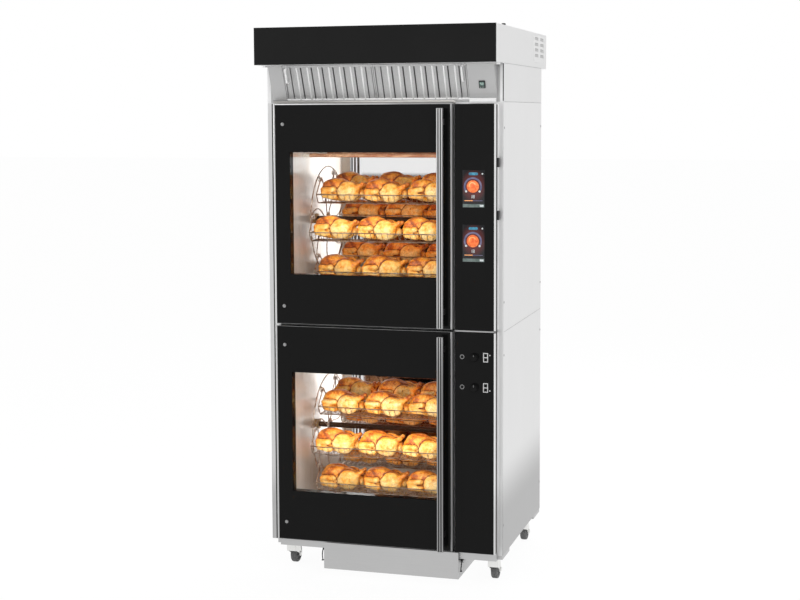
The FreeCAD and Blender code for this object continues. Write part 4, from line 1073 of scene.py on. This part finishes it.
# Rotors: shaft, hubs, rims and curved spokes
rotorSizes = {"axle": (-16, 423), "count": 7, "rest": 6, "discs": (-372, 249), "half": 2, "rim": 235,
              "wire": 2.4, "pitch": 215, "eye": (4.2, 11), "hub": 30, "spokeFoot": 24, "bow": 22, "bends": 12,
              "shaft": 12, "shafts": ((-439.7, -374), (-370, 247), (251, 323))}
spokeAngles = [rotorSizes["rest"] + i * 360 / rotorSizes["count"] for i in range(rotorSizes["count"])]


def onDisc(x, radius, angle):      # a point of the disc at x, angles from the front upwards
    return x, -radius * math.cos(math.radians(angle)), radius * math.sin(math.radians(angle))


def spoke(x, angle):
    path = []
    for i in range(rotorSizes["bends"] + 1):
        t = i / rotorSizes["bends"]
        radius = rotorSizes["spokeFoot"] + (rotorSizes["rim"] - rotorSizes["spokeFoot"]) * t
        path.append(onDisc(x, radius, angle + rotorSizes["bow"] * math.sin(math.pi * t) * (1 - t * 0.5)))
    return path


def spokedRotor(start):
    s = rotorSizes
    shape = Stock()
    paths = []
    for x in s["discs"]:
        paths.append(([(x, *p) for p in arc((0, 0), s["rim"], 0, 360, 96)[:-1]], True))
        paths += [(spoke(x, angle), False) for angle in spokeAngles]
    shape.add(wires(paths, s["wire"], basketWire))
    t, hub, shaft = s["half"], s["hub"], s["shaft"]
    eye = bothWays([(radius, t) for radius in s["eye"]])
    for x in s["discs"]:
        shape.lathe([(0, -t), (hub, -t), (hub, t), (0, t)], (x, 0, 0), "x", 1, 48)
        for angle in spokeAngles:
            shape.lathe(eye, onDisc(x, s["pitch"], angle), "x", 1, 24)
    for x0, x1 in s["shafts"]:
        shape.lathe([(0, 0), (shaft, 0), (shaft, x1 - x0), (0, x1 - x0)], (x0, 0, 0), "x", 2, 36)
    y, rise = s["axle"]
    return shape.mesh("rotor", Matrix.Translation((0, y, start + rise)))


for level, start in ovens.items():
    piece(f"{level}_spoked_rotor", spokedRotor(start), f"{level}_rotor",
          (basketWire, cavitySteel, bakedSteel), (f"{level}_rotor",))
print("rotors made")


# Baskets: one bent wire cradle, set at every pivot
basketSizes = {"x": (-365, 242), "inset": 2.5, "tray": 45, "rail": 70, "floor": -101.5, "top": -64,
               "yoke": (6, 4), "cross": 24, "long": (-22, 0, 22), "longDrop": 0.2, "rod": 2.3,
               "wire": 1.4, "endBend": 8, "netBend": 6, "pin": (4.0, 12), "boss": 9}


def cradle():
    s = basketSizes
    x0, x1 = s["x"][0] + s["inset"], s["x"][1] - s["inset"]
    tray, rail, floor, top, (yokeY, yokeZ) = (s[key] for key in ("tray", "rail", "floor", "top", "yoke"))
    trough = [(-rail, top), (-tray, floor), (tray, floor), (rail, top)]
    rails = [([(x0, y, z), (x1, y, z)], False) for y, z in (trough[0], trough[3], trough[1], trough[2])]
    ends, fine = [], []
    for x in (x0, x1):
        hanger = [(-rail, top), (-yokeY, yokeZ), (yokeY, yokeZ), (rail, top), (tray, floor), (-tray, floor)]
        ends.append(([(x, *p) for p in hanger], True))
        ends.append(([(x, -rail, top), (x, rail, top)], False))
    for i in range(1, s["cross"]):
        x = x0 + (x1 - x0) * i / s["cross"]
        fine.append(([(x, *p) for p in trough], False))
    net = floor - s["longDrop"]
    fine += [([(x0, y, net), (x1, y, net)], False) for y in s["long"]]
    shape = Stock()
    shape.add(wires(rails, s["rod"], basketWire))
    shape.add(wires(ends, s["rod"], basketWire, s["endBend"]))
    shape.add(wires(fine, s["wire"], basketWire, s["netBend"], 6))
    boss, (r, reach) = s["boss"], s["pin"]
    pin = [(0, -4), (boss, -4), (boss, 0), (r, 0.4), (r, reach - 1), (r * 0.7, reach), (0, reach)]
    for x, way in zip(s["x"], ("-x", "x")):
        shape.lathe(pin, (x, 0, 0), way, 1, 20)
    return shape.mesh("cradle")


# Roast birds: limbs joined, remeshed, wrinkled; the sear, with painted shade near the joins, and the creases'
# painted shade are kept as attributes
birdSizes = {"length": 204, "radius": 57, "voxel": 3.1, "kinds": 4, "firstSeed": 11, "floor": -52.4,
             "press": 0.06, "lump": 1.3, "wrinkle": 0.6, "crease": 5.5, "fold": 2.6, "edge": 20, "drift": 4.5,
             "inBasket": 3, "lift": -46.8, "pitch": 201, "start": -362, "last": 0.95,
             "roll": 7, "turn": 3, "sizes": (0.97, 1.0), "orderSeed": 5}


def birdLimbs(rng):      # balls: group, centre, radii; rods: group, start, end, their radii
    l, r = birdSizes["length"], birdSizes["radius"]

    def at(x, y, z, play=0.0):
        return Vector((x * l, y * r, z * r)) + Vector([rng.uniform(-play, play) for _ in range(3)])
    balls = [("body", at(0.46, 0, -0.05), (0.44 * l, 0.64 * r, 0.82 * r)),
             ("body", at(0.08, 0, 0.02), (0.08 * l, 0.42 * r, 0.42 * r)),
             ("body", at(0.92, 0, -0.25), (0.07 * l, 0.36 * r, 0.34 * r))]
    rods = []
    for sign in (-1, 1):
        leg, wing = f"leg{sign}", f"wing{sign}"
        balls.append(("body", at(0.36, sign * 0.22, 0.36, 2), (0.31 * l, 0.45 * r, 0.57 * r)))
        balls.append((leg, at(0.65, sign * 0.53, -0.12, 2.5), (0.245 * l, 0.46 * r, 0.78 * r)))
        ankle = at(0.94, sign * 0.4, 0.44, 3)
        rods.append((leg, at(0.74, sign * 0.6, 0.04), ankle, 0.43 * r, 0.15 * r))
        rods.append((leg, ankle, ankle + Vector((4, sign * 1.5, 3 + rng.uniform(-1, 2))), 0.15 * r, 0.18 * r))
        elbow, hand = at(0.07, sign * 0.56, -0.02, 2.5), at(0.1, sign * 0.62, -0.46, 2.5)
        rods += [(wing, elbow, at(0.33, sign * 0.78, 0.04, 2), 0.22 * r, 0.22 * r),
                 (wing, elbow, hand, 0.2 * r, 0.2 * r),
                 (wing, hand, at(0.36, sign * 0.76, -0.52, 2), 0.2 * r, 0.22 * r)]
    return balls, rods


def limbDistance(p, balls, rods):      # distance to each group of limbs
    reach = {}
    for group, centre, radii in balls:
        q = Vector([(a - c) / s for a, c, s in zip(p, centre, radii)])
        far = q.length * (q.length - 1) / max(Vector([a / s for a, s in zip(q, radii)]).length, 1e-6)
        reach[group] = min(far, reach.get(group, 1e9))
    for group, a, b, ra, rb in rods:
        run = b - a
        t = min(1, max(0, (p - a).dot(run) / run.length_squared))
        far = (p - a - run * t).length - (ra + (rb - ra) * t)
        reach[group] = min(far, reach.get(group, 1e9))
    return sorted((far, group) for group, far in reach.items())


def joinedLimbs(balls, rods):      # limbs in one smooth skin, in mm
    rough = bmesh.new()

    def ball(fineness, radius, matrix):
        made = bmesh.ops.create_icosphere(rough, subdivisions=fineness, radius=radius)["verts"]
        bmesh.ops.transform(rough, matrix=matrix, verts=made)
    for group, centre, radii in balls:
        ball(4, 1, Matrix.Translation(centre) @ Matrix.Diagonal((*radii, 1)))
    for group, a, b, ra, rb in rods:
        run = b - a
        turn = run.to_track_quat("Z", "Y").to_matrix().to_4x4()
        made = bmesh.ops.create_cone(rough, cap_ends=True, segments=24, radius1=ra, radius2=rb,
                                     depth=run.length)["verts"]
        bmesh.ops.transform(rough, matrix=Matrix.Translation((a + b) / 2) @ turn, verts=made)
        for end, size in ((a, ra), (b, rb)):
            ball(3, size, Matrix.Translation(end))
    mesh = bpy.data.meshes.new("bird")
    rough.to_mesh(mesh)
    rough.free()
    made = bpy.data.objects.new("bird", mesh)
    scene.collection.objects.link(made)
    mod = made.modifiers.new("remesh", "REMESH")
    mod.mode, mod.voxel_size, mod.adaptivity = "VOXEL", birdSizes["voxel"], 0.0
    mod = made.modifiers.new("soften", "SMOOTH")
    mod.factor, mod.iterations = 0.5, 2
    return settle(made)


def clamp(value):
    return min(1, max(0, value))


def browning(group, p, blotch):      # darker on top, at the shanks and at the wing joints
    along, up = p.x / birdSizes["length"], p.z / birdSizes["radius"]
    if group == "body":
        return 0.35 + 0.26 * up + 0.34 * blotch
    if group.startswith("leg"):
        return 0.15 + 0.22 * up + 0.26 * blotch + 0.3 * max(0, (along - 0.76) / 0.2)
    return 0.24 + 0.26 * blotch + 0.25 * max(0, 0.14 - along) / 0.14


def roastBird(seed):
    rng = random.Random(seed)
    balls, rods = birdLimbs(rng)
    mesh = joinedLimbs(balls, rods)
    s, floor = birdSizes, birdSizes["floor"]
    sear, crease = [], []
    offset = Vector([rng.uniform(0, 500) for _ in range(3)])
    for v, p, n in [(v, v.co.copy(), v.normal.copy()) for v in mesh.vertices]:
        drift = noise.noise_vector((p + offset) / 26) * s["drift"]
        (near, group), (second, _) = limbDistance(p + drift, balls, rods)[:2]
        fold = max(0, 1 - (second - near) / s["crease"])
        edge = max(0, 1 - (second - near) / s["edge"])
        lump = noise.fractal((p + offset) / 30, 0.9, 2.0, 2)
        ripple = noise.fractal((p + offset) / 10, 0.8, 2.1, 3)
        blotch = noise.fractal((p + offset) / 40, 0.9, 2.0, 4)
        # browning plus ripple, and an edge term that adds painted shade where limbs meet
        sear.append(clamp(browning(group, p, blotch) + 0.1 * ripple + 0.26 * edge * edge))
        line = max(0, 1 - abs(noise.fractal((p - offset) / 24, 0.9, 2.0, 3)) / 0.09)
        # painted shade in the creases and along wrinkle lines
        crease.append(max(fold * (0.75 + 0.5 * ripple), 0.55 * line * clamp(blotch * 3 + 0.2)))
        v.co = p + n * (lump * s["lump"] + ripple * s["wrinkle"] - fold * fold * s["fold"])
        if v.co.z < floor:      # pressed flat on the basket
            v.co.z = floor + (v.co.z - floor) * s["press"]
    for name, values in (("sear", sear), ("crease", crease)):
        mesh.attributes.new(name, "FLOAT", "POINT").data.foreach_set("value", values)
    mesh.transform(Matrix.Scale(mm, 4))
    return mesh


def roastSkin(f):
    sear, crease = (f.node("ShaderNodeAttribute", {"attribute_name": name}, out="Fac")
                    for name in ("sear", "crease"))
    speck = f.cloud((190, 190, 190), 4.0, 0.6)
    blister = f.cloud((70, 70, 70), 3.0, 0.6)
    tone = sear + (blister - 0.5) * 0.42 + (speck - 0.5) * 0.34
    skin = f.node("ShaderNodeValToRGB", {"stops": [
        (0.0, (0.84, 0.62, 0.29)), (0.2, (0.86, 0.5, 0.13)), (0.42, (0.84, 0.32, 0.03)),
        (0.66, (0.52, 0.12, 0.01)), (1.0, (0.14, 0.025, 0.004))]}, {"Fac": tone})
    vein = f.sum("ABSOLUTE", f.cloud((46, 46, 46), 3.0, 0.6) - 0.5, 0.0).rise(0.0, 0.05, 0.34, 0.0)
    # painted shade from the creases, joined with darker veins
    dark = (crease.rise(0.05, 0.55) * 0.92).top(vein)
    return {"Base Color": dark.tint(skin, (0.16, 0.03, 0.004)), "Roughness": 0.5 - blister * 0.3,
            "Normal": f.bump(blister * 0.6 + speck * 0.4, 0.2, 0.001)}


roast = finish("roast", {"Coat Weight": 0.25, "Coat Roughness": 0.18, "Specular IOR Level": 0.5}, roastSkin)
noise.seed_set(birdSizes["firstSeed"])      # noise_vector draws its offsets from this seed
birdKinds = [roastBird(birdSizes["firstSeed"] + i) for i in range(birdSizes["kinds"])]
print("bird kinds:", [len(m.polygons) for m in birdKinds])
cradleMesh = cradle()
order = random.Random(birdSizes["orderSeed"])


def birdRow(pivot):      # the birds of one basket, each a kind, a lean and a size drawn in order
    s = birdSizes
    load = Stock()
    for n in range(s["inBasket"]):
        kind = birdKinds[order.randrange(len(birdKinds))]
        roll = Matrix.Rotation(math.radians(order.uniform(-s["roll"], s["roll"])), 4, "X")
        turn = Matrix.Rotation(math.radians(order.uniform(-s["turn"], s["turn"])), 4, "Z")
        size = order.uniform(*s["sizes"]) * (s["last"] if n == s["inBasket"] - 1 else 1)
        put = Matrix.Translation((s["start"] + n * s["pitch"], pivot.y, pivot.z + s["lift"]))
        load.add(kind, put @ roll @ turn @ Matrix.Scale(size, 4))
    return load.mesh("birds")


for level in ovens:
    for i in range(rotorSizes["count"]):
        body = f"{level}_basket_{i + 1}"
        pivot = pivots[body]
        rack = cradleMesh.copy()
        rack.transform(Matrix.Translation(Vector((0, pivot.y, pivot.z)) * mm))
        piece(f"{body}_cradle", rack, body, (basketWire, cavitySteel), (body,))
        piece(f"{body}_birds", birdRow(pivot), body, (roast,), smooth=80)
print("baskets loaded")


# Grease drawer runners and toggle clips; steps are outwards from the drawer's edge or the clip's middle
runner = {"edges": {-1: -262, 1: 333}, "y": (-386, 129), "web": (8, 11), "webZ": (95.7, 121), "lip": (1, 8),
          "lipZ": (95.7, 98.7), "edge": 0.4}
clip = {"step": 9.8, "seat": ((-4.5, 4.5), (-404, -386), (110, 121), 1.4),
        "lever": [(0, -400, 114), (1.5, -414, 110), (1, -422, 96), (-0.5, -423.5, 82), (-1, -421, 71)],
        "leverWire": 2.3, "leverBend": 8, "arm": [(3.5, -404, 117), (1.2, -417, 98)], "armWire": 1.7,
        "tip": ((4.6, 13.5), (-425.5, -416), (67.2, 71), 1.2)}
shape = Stock()
for sign, near in runner["edges"].items():
    for strip in ("web", "lip"):
        shape.bar(outward(near, sign, runner[strip]), runner["y"], runner[strip + "Z"], runner["edge"])
    middle = near + sign * clip["step"]
    x, y, z, edge = clip["seat"]
    shape.bar(moved(x, middle), y, z, edge, 1)
    for wire, thick, bend in (("lever", clip["leverWire"], clip["leverBend"]), ("arm", clip["armWire"], 0)):
        path = [(middle + sign * step, y, z) for step, y, z in clip[wire]]
        shape.add(wires([(path, False)], thick, blackPlastic, bend), mat=1)
    x, y, z, edge = clip["tip"]
    shape.bar(outward(near, sign, x), y, z, edge, 1)
piece("drawer_rails_and_clips", shape.mesh("rails"), "cabinet", (frontSteel, blackPlastic),
      ("drawer_runners",))

# Rolled rim on the drawer
rim = {"x": (-259, 330), "y": (-428.2, 126.5), "z": 115.8, "radius": 1.1, "bend": 3}
(x0, x1), (y0, y1), z = rim["x"], rim["y"], rim["z"]
path = [(x0, y0, z), (x1, y0, z), (x1, y1, z), (x0, y1, z)]
piece("drawer_rolled_rim", wires([(path, True)], rim["radius"], frontSteel, rim["bend"]), "grease_drawer",
      (frontSteel,))


# Hood fan: a squirrel cage of curved blades
fan = {"blades": 36, "ring": 80, "blade": 22, "bladeArc": 70, "sheet": 0.9, "bladeZ": (2, 68), "turn": 35,
       "bore": 8.05, "hub": 22, "eye": 70, "outer": 95, "height": 70, "plate": 2}
low, high = (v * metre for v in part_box("hood_fan"))
bow = arc((-fan["blade"], 0), fan["blade"], 0, fan["bladeArc"], 6)
blade = Stock()
blade.prism(bow + [(x - fan["sheet"], y) for x, y in reversed(bow)], "z", *fan["bladeZ"])
shape = Stock()
shape.add(setOutParts(blade.mesh("blade"), ringSpots(fan["ring"], fan["blades"], fan["turn"]), motorGrey))
b, hub, eye, outer, h, t = (fan[key] for key in ("bore", "hub", "eye", "outer", "height", "plate"))
backPlate = [(b, 0), (hub, 0), (hub, h - 4), (outer, h - 2.1), (outer, h), (b, h), (b, 0)]
frontRing = [(eye, 0), (outer, 0), (outer, t), (eye, t), (eye, 0)]
for profile in (backPlate, frontRing):
    shape.lathe(profile, (0, 0, 0), "z", 0, 48)
put = Matrix.Translation(((low.x + high.x) / 2, (low.y + high.y) / 2, low.z))
piece("hood_fan_cage", shape.mesh("fan", put), "hood_fan", (motorGrey,), ("hood_fan",))


# Castors: pressed fork with race and axle bolt, tyred wheel with a dished hub
castor = {"trail": 38, "axleZ": 40, "axle": 6, "cheek": (17, 21), "cheekY": 24, "cheekZ": (66, 104),
          "eye": 13, "eyeArc": (35, -190), "web": ((-21, 21), (-25, -22), (64, 104), 1.2),
          "race": [(0, 114.7), (24, 114.7), (29, 112.5), (30, 109), (28.5, 104), (24, 102.7), (0, 102.7)],
          "nut": [(0, 0), (8.5, 0), (8.5, 3.4), (7.6, 4.2), (0, 4.4)],
          "tyre": [(27, 12), (29, 14), (36.5, 13.6), (39, 11.5), (40, 7)],
          "hub": [(6.05, 14), (13, 14), (14, 12.5), (14, 9), (24, 8), (27, 11)],
          "bolt": [(0, 0), (6.5, 0), (6.5, 3.6), (5.8, 4.3), (0, 4.4)], "boltZ": 115, "boltSteps": (-36, 36),
          "boltSpin": 1.0}
corners = [f"{end}_{side}" for end in ("front", "rear") for side in ("left", "right")]


def castorFork(x, y, axle):
    s = castor
    near, far = s["cheek"]
    low, high = s["cheekZ"]
    shape = Stock()
    shape.lathe(s["race"], (x, y, 0), "z", 0, 40)
    outline = [(y - s["cheekY"], low), (y - s["cheekY"], high), (y + s["cheekY"], high)]
    outline += arc(axle[1:], s["eye"], *s["eyeArc"], 15)
    for sign, way in ((-1, "-x"), (1, "x")):
        shape.prism(outline, "x", *outward(x, sign, s["cheek"]))
        shape.lathe(s["nut"], (x + sign * far, *axle[1:]), way, 0, 6)
    r = s["axle"]
    shape.lathe([(0, 0), (r, 0), (r, 2 * near), (0, 2 * near)], (x - near, *axle[1:]), "x", 0, 24)
    webX, webY, webZ, edge = s["web"]
    shape.bar(moved(webX, x), moved(webY, y), webZ, edge)
    return shape.mesh("fork")


for corner in corners:
    fork, rolling = f"{corner}_fork", f"{corner}_wheel"
    x, y = pivots[fork].x, pivots[fork].y
    axle = (x, y + castor["trail"], castor["axleZ"])
    piece(f"{corner}_castor_fork", castorFork(x, y, axle), fork, (zincPlate,), (fork,))
    wheel = Stock()
    wheel.lathe(bothWays(castor["tyre"]), axle, "x", 0, 64)
    wheel.lathe(bothWays(castor["hub"]), axle, "x", 1, 48)
    piece(f"{corner}_castor_wheel", wheel.mesh("wheel"), rolling, (treadRubber, hubPlastic),
          (rolling,))
bolt = Stock()
bolt.lathe(castor["bolt"], (0, 0, 0), "z", 0, 6)
spots = [((pivots[f"{corner}_fork"].x + dx, pivots[f"{corner}_fork"].y + dy, castor["boltZ"]), (180, 0, 0))
         for corner in corners for dx in castor["boltSteps"] for dy in castor["boltSteps"]]
bolts = setOutParts(bolt.mesh("bolt"), spots, zincPlate, castor["boltSpin"], 4)
piece("castor_plate_bolts", bolts, "cabinet")
print("castors made")


# Studio: camera, room, floor and lamps, in metres
view = {"lens": 68.32, "sensor": 36, "at": (1.8308, -6.4783, 1.9793), "yaw": 16.4221, "pitch": 5.0849,
        "roll": -0.2585, "shift": (0.0102, -0.0625)}
lens = bpy.data.cameras.new("camera")
lens.sensor_width, lens.lens = view["sensor"], view["lens"]
lens.shift_x, lens.shift_y = view["shift"]
camera = bpy.data.objects.new("camera", lens)
scene.collection.objects.link(camera)
yaw, down = math.radians(view["yaw"]), math.radians(view["pitch"])
aim = Vector((-math.sin(yaw) * math.cos(down), math.cos(yaw) * math.cos(down), -math.sin(down)))
roll = Euler((0, 0, math.radians(view["roll"]))).to_quaternion()
camera.rotation_mode = "QUATERNION"
camera.location = view["at"]
camera.rotation_quaternion = aim.to_track_quat("-Z", "Y") @ roll
scene.camera = camera

studio = {"front": 0.5, "frontSpan": (-0.55, 0.35), "ambient": 0.62, "cone": (-0.285, -0.954, -0.09),
          "coneSpan": (0.93, 0.98), "floorGlow": 0.94, "floorShade": 0.1, "floorMatte": 0.9, "floorHalf": 60,
          "floorZ": -0.0004}
white = (1, 1, 1)


def raysSeen(f):      # camera, transmission and glossy rays
    kinds = ("Camera", "Transmission", "Glossy")
    return [f.node("ShaderNodeLightPath", out=f"Is {kind} Ray") for kind in kinds]


world = bpy.data.worlds.new("studio")
scene.world = world
world.use_nodes = True
world.node_tree.nodes.clear()
f = Flow(world.node_tree)
heading = f.node("ShaderNodeTexCoord", out="Generated")
along = f.node("ShaderNodeSeparateXYZ", {}, {0: heading}, out="Y")
toward = f.node("ShaderNodeVectorMath", {"operation": "DOT_PRODUCT"}, {0: heading, 1: studio["cone"]},
                out="Value")
room = along.rise(*studio["frontSpan"], studio["front"], 1.0).top(toward.rise(*studio["coneSpan"]))
direct, through, glossy = raysSeen(f)
shown = direct.top(through)
strength = shown + (1 - shown) * room * (glossy * (1 - studio["ambient"]) + studio["ambient"])
sky = f.node("ShaderNodeBackground", {}, {"Color": (*white, 1), "Strength": strength})
end = world.node_tree.nodes.new("ShaderNodeOutputWorld")
world.node_tree.links.new(sky.socket, end.inputs["Surface"])

floorMesh = bpy.data.meshes.new("floor")
half, z = studio["floorHalf"], studio["floorZ"]
corners = [(-half, -half, z), (half, -half, z), (half, half, z), (-half, half, z)]
floorMesh.from_pydata(corners, [], [(0, 1, 2, 3)])
floor = bpy.data.objects.new("floor", floorMesh)
scene.collection.objects.link(floor)
floorMat = bpy.data.materials.new("floorWhite")
floorMat.use_nodes = True
floorMat.node_tree.nodes.clear()
f = Flow(floorMat.node_tree)
direct, through, glossy = raysSeen(f)
matte, faint = (f.node("ShaderNodeBsdfDiffuse", {}, {"Color": (*[studio[key]] * 3, 1)})
                for key in ("floorMatte", "floorShade"))
glow = f.node("ShaderNodeEmission", {}, {"Color": (*white, 1), "Strength": studio["floorGlow"]})
bright = f.node("ShaderNodeAddShader", {}, {0: faint, 1: glow})
both = f.node("ShaderNodeMixShader", {}, {0: direct.top(through).top(glossy), 1: matte, 2: bright})
end = floorMat.node_tree.nodes.new("ShaderNodeOutputMaterial")
floorMat.node_tree.links.new(both.socket, end.inputs["Surface"])
floorMesh.materials.append(floorMat)

# Each lamp: place, aim, width and height, watts, colour; those of the ovens stand on each oven's foot
lamps = {"keyRight": ((3.4, -4.6, 4.2), (0, 0, 1.1), (3.0, 3.0), 75, white),
         "fillLeft": ((-4.2, -4.2, 3.4), (0, 0, 1.1), (3.0, 3.0), 45, white),
         "rearTop": ((0.5, 4.2, 4.6), (0, 0, 1.2), (3.0, 3.0), 40, white),
         "neckFill": ((0.1, -1.5, 1.7), (0.0, -0.42, 2.1), (0.9, 0.12), 3.8, white)}
ovenLamps = {"Front": ((-0.075, -0.383, 0.46), (-0.075, 0.2, 0.38), (0.62, 0.5),
                       {"lower": 3.15, "upper": 2.2}, (1, 0.95, 0.88)),
             "Wall": ((-0.355, 0.388, 0.46), (-0.4, -0.2, 0.46), (0.15, 0.54),
                      {"lower": 0.5, "upper": 0.42}, (1, 0.98, 0.96)),
             "Glow": ((-0.075, 0.0, 0.42), (-0.075, 0.3, 0.4), (0.55, 0.36),
                      {"lower": 0.5, "upper": 0.5}, (1, 0.42, 0.14))}
for level, start in ovens.items():
    foot = Vector((0, 0, start * mm))
    for name, (at, to, size, powers, colour) in ovenLamps.items():
        lamps[level + name] = (Vector(at) + foot, Vector(to) + foot, size, powers[level], colour)
for name, (at, to, (wide, tall), power, colour) in lamps.items():
    light = bpy.data.lights.new(name, "AREA")
    light.shape, light.size, light.size_y, light.energy, light.color = "RECTANGLE", wide, tall, power, colour
    made = bpy.data.objects.new(name, light)
    scene.collection.objects.link(made)
    made.location = at
    made.rotation_mode = "QUATERNION"
    made.rotation_quaternion = (Vector(to) - Vector(at)).to_track_quat("-Z", "Y")
    made.visible_camera = False
    made.visible_glossy = wide > 1 or name.endswith("Wall")      # the other lamps make no highlights
scene.view_settings.view_transform = "Standard"
print("studio set")
